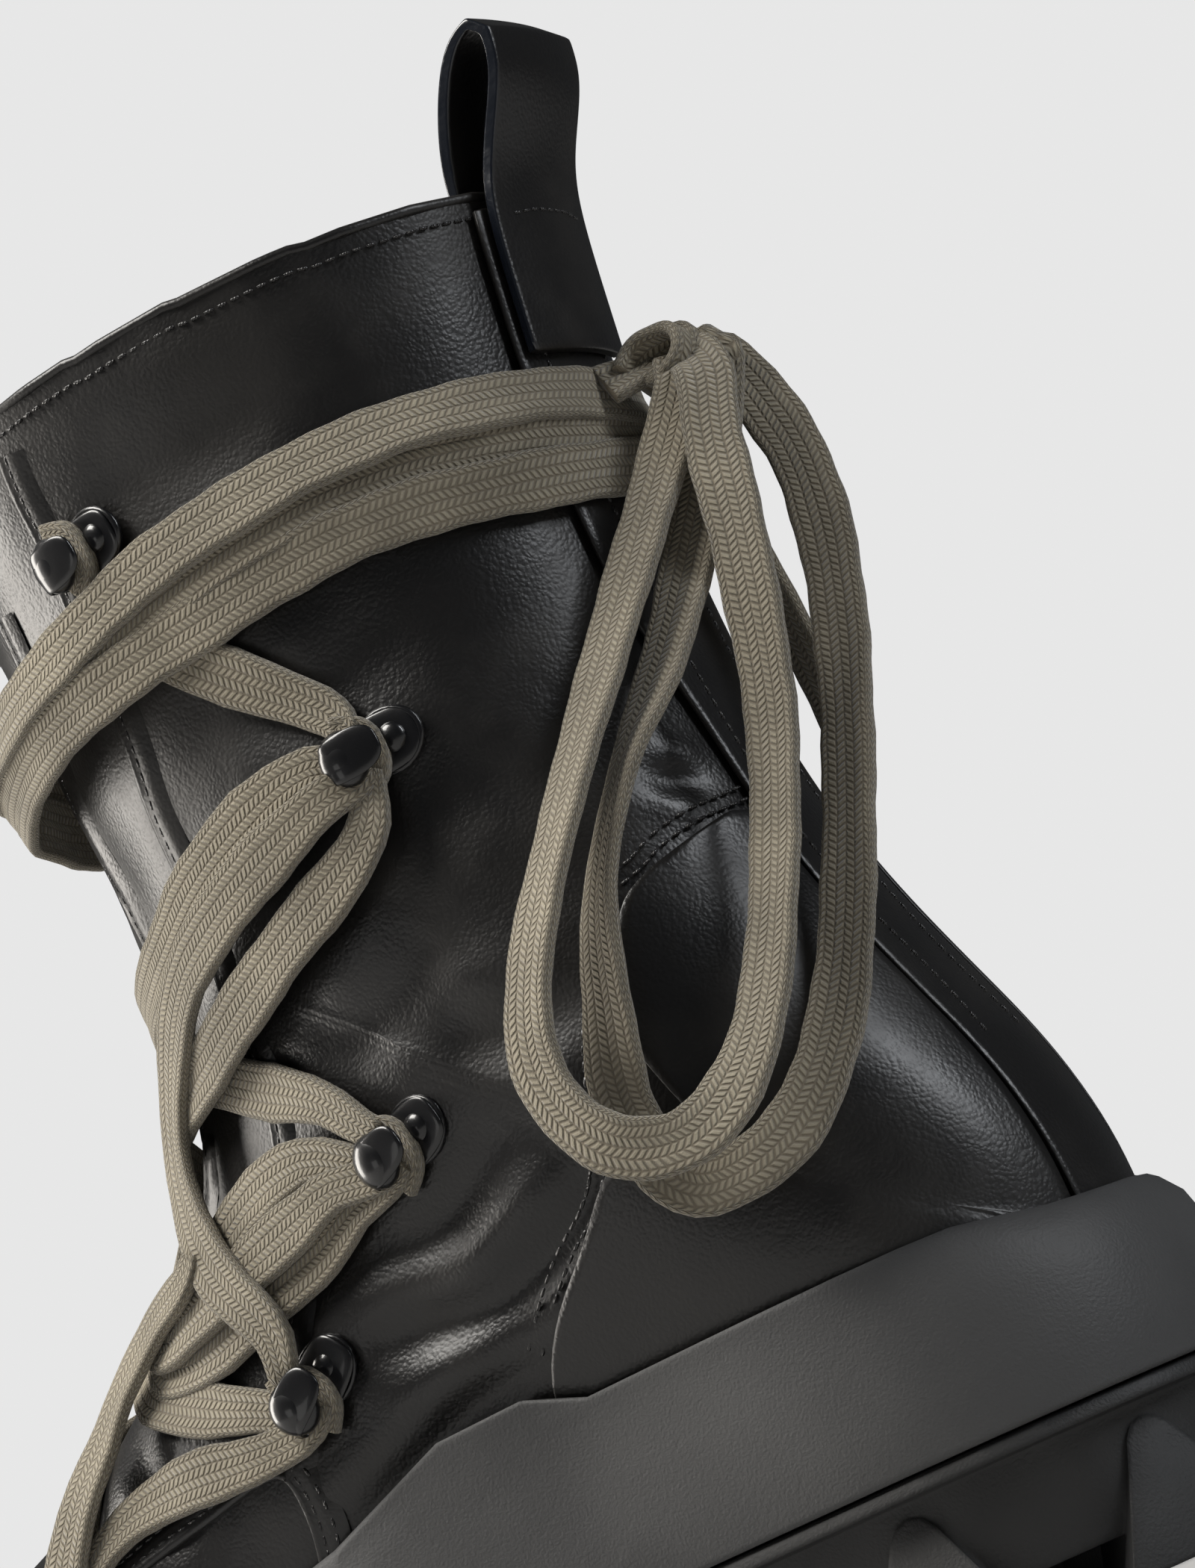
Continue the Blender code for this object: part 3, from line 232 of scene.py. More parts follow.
def braid(name, spots, width=LACE_WIDTH, closed=False):
    """A flat braided lace through spots: each a point, its face's direction and, if pinched, a share."""
    count = len(spots)
    back = [(a, -b) for a, b in BRAID_PROFILE[-2:0:-1]]
    profile = list(BRAID_PROFILE) + back
    build = bmesh.new()
    weave = build.loops.layers.uv.new("braid")
    rings = []
    gone = 0.0
    runs = []
    for n, (point, face, *pinch) in enumerate(spots):
        before = spots[(n - 1) % count if closed else max(n - 1, 0)][0]
        after = spots[(n + 1) % count if closed else min(n + 1, count - 1)][0]
        if n:
            gone += (point - spots[n - 1][0]).length
        runs.append(gone)
        along = (after - before).normalized()
        face = (face - along * face.dot(along)).normalized()
        across = along.cross(face)
        swell = 1 + 0.03 * math.sin(gone * 310) + 0.02 * math.sin(gone * 790 + 1)
        swell *= pinch[0] if pinch else 1
        rings.append([
            build.verts.new(point + across * a * width * swell + face * b * LACE_THICKNESS)
            for a, b in profile
        ])
    if closed:
        rings.append(rings[0])
        runs.append(gone + (spots[0][0] - spots[-1][0]).length)
    size = len(profile)
    for n in range(len(rings) - 1):
        for k in range(size):
            m = (k + 1) % size
            made = build.faces.new([rings[n][k], rings[n][m], rings[n + 1][m], rings[n + 1][k]])
            places = ((runs[n], k), (runs[n], k + 1), (runs[n + 1], k + 1), (runs[n + 1], k))
            for corner, (run, turn) in zip(made.loops, places):
                corner[weave].uv = (run, turn / size * 2)
    if not closed:
        build.faces.new(rings[0][::-1])
        build.faces.new(rings[-1])
    bmesh.ops.recalc_face_normals(build, faces=build.faces)
    return piece_from(name, build, lace)


def math_node(tree, operation, *values):
    """A maths node over some sockets or numbers."""
    return node(tree, "ShaderNodeMath", {"operation": operation}, dict(enumerate(values)))


def noise(tree, spot, scale, detail=2.0):
    """Noise over a piece's own coordinates, so many waves to the metre."""
    return node(tree, "ShaderNodeTexNoise", values={
        "Vector": spot.outputs["Object"], "Scale": scale, "Detail": detail,
    })


weave_group = bpy.data.node_groups.new("braided cotton", "ShaderNodeTree")
weave_group.interface.new_socket("Height", in_out="OUTPUT", socket_type="NodeSocketFloat")
weave_group.interface.new_socket("Gap", in_out="OUTPUT", socket_type="NodeSocketFloat")
tree = weave_group
place = node(tree, "ShaderNodeUVMap", {"uv_map": "braid"})
parts = node(tree, "ShaderNodeSeparateXYZ", values={"Vector": place.outputs["UV"]})
along = math_node(tree, "DIVIDE", parts.outputs["X"], BRAID_PITCH)
rib = math_node(tree, "MULTIPLY", parts.outputs["Y"], float(BRAID_RIBS))
zigzag = math_node(tree, "PINGPONG", rib.outputs[0], 1.0)
lean = math_node(tree, "MULTIPLY_ADD", zigzag.outputs[0], 0.9, along.outputs[0])
turn = math_node(tree, "PINGPONG", lean.outputs[0], 0.5)
yarn = node(tree, "ShaderNodeMapRange", {"interpolation_type": "SMOOTHSTEP"}, {
    "Value": turn.outputs[0], "From Min": 0.04, "From Max": 0.36,
})
edge = math_node(tree, "PINGPONG", zigzag.outputs[0], 0.5)
valley = node(tree, "ShaderNodeMapRange", {"interpolation_type": "SMOOTHSTEP"}, {
    "Value": edge.outputs[0], "From Min": 0.0, "From Max": 0.22,
})
raised = math_node(tree, "MULTIPLY", yarn.outputs[0], valley.outputs[0])
inverse = math_node(tree, "SUBTRACT", 1.0, raised.outputs[0])
ends = tree.nodes.new("NodeGroupOutput")
tree.links.new(raised.outputs[0], ends.inputs["Height"])
tree.links.new(inverse.outputs[0], ends.inputs["Gap"])

lace, tree, output = finish_of("taupe braid")
weave = node(tree, "ShaderNodeGroup", {"node_tree": weave_group})
spot = node(tree, "ShaderNodeTexCoord")
fade = noise(tree, spot, 70.0, 3.0)
fuzz = noise(tree, spot, 4200.0)
# Painted shade: the taupe darkens towards the shade colour in the gaps between the yarns
dark = node(tree, "ShaderNodeMapRange", values={
    "Value": weave.outputs["Gap"], "From Min": 0.35, "From Max": 1.0, "To Min": 0.0, "To Max": 0.75,
})
tone = node(tree, "ShaderNodeMix", {"data_type": "RGBA"}, {
    "Factor": dark.outputs[0], "A": TAUPE, "B": TAUPE_PAINTED_SHADE,
})
patch = node(tree, "ShaderNodeMapRange", values={
    "Value": fade.outputs["Fac"], "From Min": 0.3, "From Max": 0.7, "To Min": 0.82, "To Max": 1.12,
})
worn = node(tree, "ShaderNodeVectorMath", {"operation": "SCALE"}, {
    0: tone.outputs["Result"], "Scale": patch.outputs[0],
})
height = math_node(tree, "MULTIPLY_ADD", fuzz.outputs["Fac"], 0.35, weave.outputs["Height"])
bump = node(tree, "ShaderNodeBump", values={"Height": height.outputs[0], "Distance": 0.0003, "Strength": 1.0})
cotton = node(tree, "ShaderNodeBsdfPrincipled", values={
    "Base Color": worn.outputs[0], "Roughness": 0.88, "Sheen Weight": 0.35, "Sheen Roughness": 0.4,
    "Specular IOR Level": 0.25, "Normal": bump.outputs[0],
})
tree.links.new(cotton.outputs[0], output.inputs["Surface"])


def hang(name, rows, cad_node):
    """One run of the bow: a flat lace whose face looks out and turns as it falls."""
    path = eased(rows, 2.2)
    spots = []
    points = [Vector(row[:3]) / 1000 for row in path]
    for n, row in enumerate(path):
        run = (points[min(n + 1, len(points) - 1)] - points[max(n - 1, 0)]).normalized()
        face = away - run * away.dot(run)
        spots.append((points[n], Matrix.Rotation(math.radians(row[3]), 3, run) @ face.normalized()))
    made = braid(name, spots)
    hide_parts(cad_node)
    return made


hang("bow_loop_front", LOOP_A, "lace_loop_a")
hang("bow_loop_rear", LOOP_B, "lace_loop_b")
hang("free_end_long", END_A, "lace_end_a")
hang("free_end_short", END_B, "lace_end_b")

# The knot: the lace turned over itself a little more than twice, a lump as wide as it is high
KNOT_MIDDLE = Vector((-0.0215, -0.0040, 0.2000))
# The tail of lace that ties the knot to the turns round the shaft, in millimetres
KNOT_TAIL = (
    (-12.2, 4.0, 202.0, 0), (-15.5, 1.0, 202.2, 10), (-19.0, -2.0, 202.0, 30), (-21.5, -5.0, 200.5, 60),
)
TAIL_FACE = Vector((-0.4, 0.7, 0.6))
KNOT_TURNS = 2.3
KNOT_STEPS = 63
KNOT_AXIS = Vector((0.15, 0.75, 0.55)).normalized()
KNOT_REACH = 0.0046
KNOT_UNEVEN = 0.0016
KNOT_LENGTH = 0.009
first_out = Vector((1, 0, 0)).cross(KNOT_AXIS).normalized()
knot_spots = []
for n in range(KNOT_STEPS + 1):
    share = n / KNOT_STEPS
    angle = share * KNOT_TURNS * math.tau
    out = Matrix.Rotation(angle, 3, KNOT_AXIS) @ first_out
    swell = KNOT_REACH + KNOT_UNEVEN * math.sin(angle * 1.3 + 0.6)
    knot_spots.append((KNOT_MIDDLE + out * swell + KNOT_AXIS * (share - 0.5) * KNOT_LENGTH, out))
knot = braid("bow_knot", knot_spots, LACE_WIDTH)
tail = [
    (Vector(row[:3]) / 1000, Matrix.Rotation(math.radians(row[3]), 3, "X") @ TAIL_FACE)
    for row in eased(KNOT_TAIL, 1.0)
]
braid("bow_knot_tail", tail)
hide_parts("lace_knot")


# Upper. One hollow shape of waxed black leather, about 2 mm thick, with a wrinkled pebble grain and a
# satin coat. It is lasted: drawn tight over the toe and creased by hand where the ankle bends.
LEATHER = (0.0075, 0.0070, 0.0070, 1)
LEATHER_WORN = (0.016, 0.0145, 0.013, 1)
GRAIN_SIZE = 0.0007
LINING = (0.012, 0.012, 0.012, 1)
SHARP_ANGLE = math.radians(48)
RIPPLE_DEPTH = 0.00022
CREASE_SWELL = 0.55
INNER_CREASES = 0.8
# Creases: points in millimetres on the outer side, and each crease's depth and half width
CREASES = (
    (1.5, 3.4, ((95.1, 40.9, 54.3), (78.4, 39.8, 59.5), (62.3, 38.4, 64.6), (46.3, 38.6, 67.6))),
    (2.3, 4.0, ((76.7, 40.5, 78.8), (64.7, 39.9, 78.5), (52.7, 40.1, 76.5), (42.1, 40.7, 78.5),
        (31.2, 41.2, 82.8), (24.5, 41.1, 87.6))),
    (1.1, 2.6, ((-0.9, 23.1, 140.1), (-6.1, 15.4, 136.5))),
    (1.4, 5.0, ((40.0, 42.0, 118.0), (28.0, 41.0, 112.0), (16.0, 38.0, 114.0))),
    (1.3, 5.5, ((66.0, 41.0, 130.0), (56.0, 41.0, 124.0), (44.0, 41.0, 126.0),
        (34.0, 40.0, 132.0))),
    (1.2, 4.5, ((70.0, 41.0, 92.0), (58.0, 41.0, 90.0), (46.0, 41.0, 94.0), (36.0, 41.0, 100.0))),
    (0.9, 3.8, ((128.0, 40.0, 62.0), (134.0, 36.0, 70.0), (139.0, 26.0, 78.0))),
    (0.9, 3.8, ((118.0, 42.0, 62.0), (124.0, 38.0, 74.0), (130.0, 28.0, 84.0))),
    (0.9, 7.0, ((58.0, 44.0, 222.0), (40.0, 44.0, 216.0), (22.0, 41.0, 219.0))),
    (1.1, 6.5, ((52.0, 43.0, 178.0), (36.0, 42.0, 172.0), (18.0, 38.0, 178.0))),
    (0.9, 5.0, ((20.0, 40.0, 152.0), (8.0, 36.0, 146.0), (0.0, 28.0, 150.0))),
)


def flooded(build, start):
    """The faces reached from one face without passing a sharp edge."""
    found = {start}
    waiting = [start]
    while waiting:
        face = waiting.pop()
        for edge in face.edges:
            if len(edge.link_faces) != 2 or edge.calc_face_angle(0) > SHARP_ANGLE:
                continue
            for other in edge.link_faces:
                if other not in found:
                    found.add(other)
                    waiting.append(other)
    return found


def quads_of(cad_node):
    """The CAD node's faces as a bmesh, its split triangles joined to quads again."""
    build = bmesh.new()
    build.from_mesh(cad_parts[cad_node].data)
    bmesh.ops.remove_doubles(build, verts=build.verts, dist=1e-6)
    bmesh.ops.join_triangles(
        build, faces=build.faces,
        angle_face_threshold=math.radians(40), angle_shape_threshold=math.radians(60),
    )
    return build


def softened(name, build, finish, levels, crease=0.85):
    """A subdivided piece whose sharp edges and rims stay crisp."""
    mark = build.edges.layers.float.get("crease_edge") or build.edges.layers.float.new("crease_edge")
    for edge in build.edges:
        if len(edge.link_faces) != 2 or edge.calc_face_angle(0) > SHARP_ANGLE:
            edge[mark] = crease
    made = piece_from(name, build, finish)
    smooth = made.modifiers.new("smooth", "SUBSURF")
    smooth.levels = levels
    smooth.render_levels = levels
    depsgraph = bpy.context.evaluated_depsgraph_get()
    mesh = bpy.data.meshes.new_from_object(made.evaluated_get(depsgraph))
    made.modifiers.clear()
    made.data = mesh
    mesh.polygons.foreach_set("use_smooth", [True] * len(mesh.polygons))
    return made


grain_group = bpy.data.node_groups.new("leather grain", "ShaderNodeTree")
grain_group.interface.new_socket("Height", in_out="OUTPUT", socket_type="NodeSocketFloat")
grain_group.interface.new_socket("Wear", in_out="OUTPUT", socket_type="NodeSocketFloat")
tree = grain_group
spot = node(tree, "ShaderNodeTexCoord")
drift = noise(tree, spot, 260.0, 3.0)
moved = node(tree, "ShaderNodeVectorMath", {"operation": "MULTIPLY_ADD"}, {
    0: drift.outputs["Color"], 1: (0.0016, 0.0016, 0.0016), 2: spot.outputs["Object"],
})
pebble = node(tree, "ShaderNodeTexVoronoi", {"feature": "SMOOTH_F1"}, {
    "Vector": moved.outputs[0], "Scale": 1 / GRAIN_SIZE, "Smoothness": 0.4,
})
dome = math_node(tree, "SUBTRACT", 1.0, pebble.outputs["Distance"])
wrinkle = node(tree, "ShaderNodeTexNoise", {"noise_type": "RIDGED_MULTIFRACTAL"}, {
    "Vector": moved.outputs[0], "Scale": 210.0, "Detail": 4.0,
})
pore = noise(tree, spot, 3400.0)
coarse = math_node(tree, "MULTIPLY_ADD", wrinkle.outputs["Fac"], 0.03, dome.outputs[0])
fine = math_node(tree, "MULTIPLY_ADD", pore.outputs["Fac"], 0.3, coarse.outputs[0])
rub = noise(tree, spot, 34.0, 4.0)
wear = node(tree, "ShaderNodeMapRange", {"interpolation_type": "SMOOTHSTEP"}, {
    "Value": rub.outputs["Fac"], "From Min": 0.42, "From Max": 0.72,
})
ends = tree.nodes.new("NodeGroupOutput")
tree.links.new(fine.outputs[0], ends.inputs["Height"])
tree.links.new(wear.outputs["Result"], ends.inputs["Wear"])


def leather_finish(name, depth, rough, coat):
    """Waxed black leather: grain depth in metres, base roughness and the weight of its coat."""
    made, tree, output = finish_of(name)
    grain = node(tree, "ShaderNodeGroup", {"node_tree": grain_group})
    tone = node(tree, "ShaderNodeMix", {"data_type": "RGBA"}, {
        "Factor": grain.outputs["Wear"], "A": LEATHER, "B": LEATHER_WORN,
    })
    dull = node(tree, "ShaderNodeMapRange", values={
        "Value": grain.outputs["Wear"], "To Min": rough - 0.05, "To Max": rough + 0.1,
    })
    bump = node(tree, "ShaderNodeBump", values={
        "Height": grain.outputs["Height"], "Distance": depth, "Strength": 0.9,
    })
    skin = node(tree, "ShaderNodeBsdfPrincipled", values={
        "Base Color": tone.outputs["Result"], "Roughness": dull.outputs["Result"], "Normal": bump.outputs[0],
        "Coat Weight": coat, "Coat Roughness": 0.28, "Specular IOR Level": 0.5,
    })
    tree.links.new(skin.outputs[0], output.inputs["Surface"])
    return made


upper_leather = leather_finish("waxed leather", 0.00008, 0.40, 0.10)
smooth_leather = leather_finish("pressed leather", 0.00006, 0.38, 0.10)

lining_cloth, tree, output = finish_of("black lining")
spot = node(tree, "ShaderNodeTexCoord")
mesh_hole = node(tree, "ShaderNodeTexVoronoi", values={"Vector": spot.outputs["Object"], "Scale": 700.0})
bump = node(tree, "ShaderNodeBump", values={"Height": mesh_hole.outputs["Distance"], "Distance": 0.0004})
cloth = node(tree, "ShaderNodeBsdfPrincipled", values={
    "Base Color": LINING, "Roughness": 0.9, "Sheen Weight": 0.3, "Normal": bump.outputs[0],
})
tree.links.new(cloth.outputs[0], output.inputs["Surface"])

build = quads_of("upper")
outermost = max(build.faces, key=lambda f: f.calc_center_median().y)
outer_faces = flooded(build, outermost)
inner_build = build.copy()
inner_build.faces.ensure_lookup_table()
build.faces.index_update()
outer_numbers = {face.index for face in outer_faces}
bmesh.ops.delete(build, geom=[f for f in build.faces if f.index not in outer_numbers], context="FACES")
bmesh.ops.delete(
    inner_build, geom=[f for n, f in enumerate(inner_build.faces) if n in outer_numbers], context="FACES",
)
form = BVHTree.FromBMesh(build)
upper_skin = softened("upper_leather", build, upper_leather, 3, 1.0)
upper_inside = softened("upper_lining", inner_build, lining_cloth, 1, 1.0)
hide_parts("upper")
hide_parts("upper")


def near_line(points, line):
    """Each point's distance to a polyline, and how far along it the nearest spot lies, 0 to 1."""
    best = np.full(len(points), 1e9)
    where = np.zeros(len(points))
    for n in range(len(line) - 1):
        low = line[n]
        run = line[n + 1] - low
        share = np.clip((points - low) @ run / (run @ run), 0, 1)
        away_by = np.linalg.norm(points - low - share[:, None] * run, axis=1)
        closer = away_by < best
        best[closer] = away_by[closer]
        where[closer] = ((n + share) / (len(line) - 1))[closer]
    return best, where


mesh = upper_skin.data
count = len(mesh.vertices)
spots = np.empty(count * 3)
mesh.vertices.foreach_get("co", spots)
spots = spots.reshape(-1, 3)
faces_out = np.empty(count * 3)
mesh.vertex_normals.foreach_get("vector", faces_out)
faces_out = faces_out.reshape(-1, 3)
sunk = np.zeros(count)
for depth, half, rows in CREASES:
    for side in (1, -1):
        line = [row[:3] / 1000 * np.array((1, side, 1)) for row in eased(rows, 4.0)]
        gap, share = near_line(spots, line)
        taper = np.sin(np.pi * np.clip(share, 0.02, 0.98)) ** 0.5
        across = gap / (half / 1000)
        size = depth * (1.0 if side > 0 else INNER_CREASES) / 1000
        sunk += size * taper * (-np.exp(-(across**2)) + CREASE_SWELL * np.exp(-((across - 1.9) ** 2)))
x_run, y_run, z_run = (spots * 1000).T
ripple = np.sin(z_run * 0.21 + np.sin(x_run * 0.09) * 1.7)
sunk += RIPPLE_DEPTH * ripple * np.sin(x_run * 0.13 + 0.8)
spots += faces_out * sunk[:, None]
mesh.vertices.foreach_set("co", spots.ravel())
mesh.update()

# Overlays. The counter halves, the back strip and the pull loop are cut from the same hide and laid
# on the upper, their edges skived thin and painted. The loop's inner edges carry a glossy dye.
EDGE_FACING = 0.72
overlays = {}
for name, cad_node, levels in (
    ("counter_leather_outer", "counter_outer", 2), ("counter_leather_inner", "counter_inner", 2),
    ("back_strip_leather", "back_strip", 2), ("pull_loop_leather", "pull_loop", 3),
):
    piece = softened(name, quads_of(cad_node), smooth_leather, levels, 0.9)
    overlays[cad_node] = piece
    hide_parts(cad_node)
edge_dye, tree, output = finish_of("edge dye")
spot = node(tree, "ShaderNodeTexCoord")
ripple = noise(tree, spot, 420.0)
bump = node(tree, "ShaderNodeBump", values={"Height": ripple.outputs["Fac"], "Distance": 0.00015})
shade = node(tree, "ShaderNodeMapRange", values={
    "Value": ripple.outputs["Fac"], "To Min": 0.16, "To Max": 0.30,
})
paint = node(tree, "ShaderNodeBsdfPrincipled", values={
    "Base Color": (0.006, 0.008, 0.013, 1), "Roughness": shade.outputs["Result"], "Normal": bump.outputs[0],
    "Coat Weight": 0.6,
})
tree.links.new(paint.outputs[0], output.inputs["Surface"])
mesh = overlays["pull_loop"].data
mesh.materials.append(edge_dye)
for polygon in mesh.polygons:
    if abs(polygon.normal.y) > EDGE_FACING:
        polygon.material_index = 1
tongue_piece = softened("tongue_leather", quads_of("tongue"), upper_leather, 2, 0.35)
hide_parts("tongue")
insole_piece = softened("insole_cloth", quads_of("insole"), lining_cloth, 1, 0.9)
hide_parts("insole")


# Seams. Each panel's edge laps over the next and is held by a row of bonded nylon stitches that sit
# in a pressed groove. The counter, the strip and the vamp inset have two rows.
STITCH_LENGTH = 0.0017
STITCH_GAP = 0.0006
STITCH_WIDTH = 0.00065
STITCH_HEIGHT = 0.00038
LAP_HEIGHT = 0.0009
THREAD = (0.014, 0.013, 0.013, 1)
# A lap's cross-section: distance from its edge in shares of its width, and height
LAP = (
    (-0.02, -0.30), (0.0, 0.70), (0.05, 0.95), (0.16, 1.0), (0.30, 0.62), (0.42, 0.95), (0.70, 0.6),
    (1.0, -0.2),
)
LAP_WIDTH = 0.0062
# Name, side of the line the panel lies on, rows of stitches, and the line in millimetres
SEAMS = (
    ("eyestay", 1, 1, ((71.5, 43.8, 232.4), (72.4, 42.6, 225.9), (72.5, 41.3, 214.7), (73.0, 40.5, 205.1),
        (73.6, 39.2, 183.2), (75.9, 37.2, 169.0), (76.7, 35.7, 156.8), (79.0, 35.0, 138.0),
        (80.0, 36.0, 118.0), (86.0, 38.5, 96.0), (98.0, 42.3, 66.6))),
    ("throat", 1, 1, ((91.7, 31.8, 213.0), (92.5, 30.3, 200.5), (97.7, 22.9, 178.5), (95.5, 23.8, 161.3),
        (95.2, 23.8, 151.9), (96.5, 22.0, 134.0), (99.0, 21.0, 116.0), (107.0, 19.0, 100.0))),
    ("vamp_inset", -1, 2, ((98.6, 41.2, 53.1), (97.0, 41.9, 60.0), (98.0, 42.3, 66.6), (103.0, 42.6, 67.5),
        (112.0, 42.8, 66.2), (125.7, 43.0, 64.0), (139.0, 41.0, 61.0), (150.0, 38.0, 61.0))),
    ("counter_edge", -1, 2, (
        (-8.9, 11.0, 129.9), (-4.3, 21.3, 128.8), (-0.6, 26.4, 127.3), (2.1, 29.6, 125.2),
                             (6.2, 33.3, 123.2), (7.8, 35.2, 119.4), (14.4, 39.8, 104.9), (21.2, 40.9, 87.7),
                             (26.7, 40.9, 80.9), (34.5, 40.5, 75.9), (41.5, 39.4, 70.5), (47.8, 37.7, 64.5))),
)
# The rows of stitches down the back strip, two millimetres in from its edges, and across the pull
# loop where it is sewn to the collar. Each row starts from a line ROW_SETBACK millimetres behind
# these points and lies on the leather nearest to it
ROW_SETBACK = 6
STRIP_ROW = (
    (-7.0, 11.4, 222.0), (-7.0, 10.6, 207.0), (-8.6, 9.4, 183.0), (-8.8, 8.7, 163.0), (-9.2, 8.1, 149.0),
    (-10.5, 8.0, 134.0), (-15.0, 5.8, 110.0), (-18.0, 5.0, 96.0), (-21.0, 6.2, 81.0), (-23.0, 7.4, 67.0),
    (-23.5, 7.6, 58.0),
)
LOOP_ROW = (
    (-14.5, 11.5, 230.5), (-15.5, 6.0, 231.0), (-16.0, 0.0, 231.0), (-15.5, -6.0, 231.0),
    (-14.5, -11.5, 230.5),
)
SHAFT_MIDDLE = Vector((0.0490, 0, 0))
# The collar's edge is looked for from above its highest point down to below its lowest
TRACE_TOP = 0.262
TRACE_FLOOR = 0.205
TRACE_STEP = 0.0005
TRACE_REACH = 0.15
TRACE_DEGREES = 3
COLLAR_DROP = 0.0034
BINDING_RADIUS = 0.0009
BINDING_SIDES = 10
STITCH_SIDES = 6


def laid(rows, side, lift=0.0, step=1.2):
    """Rows in millimetres laid on the upper's outer face: each spot with its outward direction."""
    out = []
    for row in eased(rows, step):
        spot = Vector((row[0], row[1] * side, row[2])) / 1000
        place, normal = form.find_nearest(spot)[:2]
        out.append((place + normal * lift, normal))
    return out


def skinned(build, rings):
    """Faces between each ring of corners and the next."""
    for a, b in zip(rings, rings[1:]):
        for k in range(len(a)):
            m = (k + 1) % len(a)
            build.faces.new([a[k], a[m], b[m], b[k]])


def stitch_row(build, line, shift, side, surface=form, rise=LAP_HEIGHT * 0.55):
    """Raised stitches along a laid line, moved across it by shift, standing at a rise on a surface."""
    run = 0.0
    due = STITCH_LENGTH / 2
    for n in range(len(line) - 1):
        low, normal = line[n]
        high = line[n + 1][0]
        length = (high - low).length
        along = (high - low).normalized()
        across = normal.cross(along) * side
        while run + length >= due:
            middle = low + along * (due - run) + across * shift
            place, up = surface.find_nearest(middle)[:2]
            rings = []
            for a, size in ((-0.5, 0.35), (-0.38, 0.85), (0.0, 1.0), (0.38, 0.85), (0.5, 0.35)):
                ring = []
                for k in range(STITCH_SIDES):
                    turn = k / STITCH_SIDES * math.tau
                    ring.append(build.verts.new(
                        place + along * a * STITCH_LENGTH + up * rise
                        + across.normalized() * math.cos(turn) * STITCH_WIDTH / 2 * size
                        + up * math.sin(turn) * STITCH_HEIGHT * size
                    ))
                rings.append(ring)
            skinned(build, rings)
            build.faces.new(rings[0][::-1])
            build.faces.new(rings[-1])
            due += STITCH_LENGTH + STITCH_GAP
        run += length


def lapped(build, line, width, side):
    """A panel's raised edge along a laid line, falling away to nothing over its width."""
    rings = []
    for n, (place, normal) in enumerate(line):
        along = (line[min(n + 1, len(line) - 1)][0] - line[max(n - 1, 0)][0]).normalized()
        across = normal.cross(along).normalized() * side
        ring = []
        for out, up in LAP:
            spot, face = form.find_nearest(place + across * out * width)[:2]
            ring.append(build.verts.new(spot + face * up * LAP_HEIGHT))
        rings.append(ring)
    for a, b in zip(rings, rings[1:]):
        for k in range(len(LAP) - 1):
            build.faces.new([a[k], a[k + 1], b[k + 1], b[k]])


thread, tree, output = finish_of("bonded thread")
spot = node(tree, "ShaderNodeTexCoord")
twist = node(tree, "ShaderNodeTexWave", {"bands_direction": "DIAGONAL"}, {
    "Vector": spot.outputs["Object"], "Scale": 900.0, "Distortion": 1.0,
})
bump = node(tree, "ShaderNodeBump", values={"Height": twist.outputs["Fac"], "Distance": 0.0001})
nylon = node(tree, "ShaderNodeBsdfPrincipled", values={
    "Base Color": THREAD, "Roughness": 0.34, "Normal": bump.outputs[0], "Coat Weight": 0.3,
})
tree.links.new(nylon.outputs[0], output.inputs["Surface"])

stitch_build = bmesh.new()
lap_build = bmesh.new()
for name, panel, count, rows in SEAMS:
    for side in (1, -1):
        line = laid(rows, side)
        way = panel * side
        if name != "counter_edge":
            lapped(lap_build, line, LAP_WIDTH, way)
        for k in range(count):
            stitch_row(stitch_build, line, LAP_WIDTH * (0.30 + 0.36 * k), way)
for cad_node, rows, side in (
    ("back_strip", STRIP_ROW, 1), ("back_strip", STRIP_ROW, -1), ("pull_loop", LOOP_ROW, 1),
):
    mesh = overlays[cad_node].data
    surface = BVHTree.FromPolygons(
        [v.co for v in mesh.vertices], [tuple(p.vertices) for p in mesh.polygons],
    )
    line = []
    for row in eased(rows, 1.2):
        behind = Vector((row[0] - ROW_SETBACK, row[1] * side, row[2])) / 1000
        line.append(surface.find_nearest(behind)[:2])
    stitch_row(stitch_build, line, 0.0, side, surface, 0.0)
# The collar's edge: a turned binding, with a row of stitches under it
rim = []
for step in range(0, 361, TRACE_DEGREES):
    angle = math.radians(step - 180)
    ray = Vector((math.cos(angle), math.sin(angle), 0))
    height = TRACE_TOP
    found = None
    while height > TRACE_FLOOR and found is None:
        start = SHAFT_MIDDLE + ray * TRACE_REACH + Vector((0, 0, height))
        found, normal = form.ray_cast(start, -ray, TRACE_REACH)[:2]
        height -= TRACE_STEP
    if found:
        rim.append((found, normal, step))
runs = [[]]
for spot in rim:
    if runs[-1] and spot[2] - runs[-1][-1][2] > TRACE_DEGREES:
        runs.append([])
    runs[-1].append(spot)
binding = bmesh.new()
for run in runs:
    if len(run) < 8:
        continue
    rings = []
    for n, (place, normal, step) in enumerate(run):
        along = (run[min(n + 1, len(run) - 1)][0] - run[max(n - 1, 0)][0]).normalized()
        rise = along.cross(normal).normalized()
        rise = rise if rise.z > 0 else -rise
        middle = place - normal * BINDING_RADIUS * 0.9
        rings.append([
            binding.verts.new(
                middle + normal * math.cos(k / BINDING_SIDES * math.tau) * BINDING_RADIUS * 1.25
                + rise * math.sin(k / BINDING_SIDES * math.tau) * BINDING_RADIUS
            ) for k in range(BINDING_SIDES)
        ])
    skinned(binding, rings)
    binding.faces.new(rings[0][::-1])
    binding.faces.new(rings[-1])
    line = [form.find_nearest(place - Vector((0, 0, COLLAR_DROP)))[:2] for place, normal, step in run]
    stitch_row(stitch_build, line, 0.0, 1, form, 0.0)
collar_binding = piece_from("collar_binding", binding, smooth_leather)
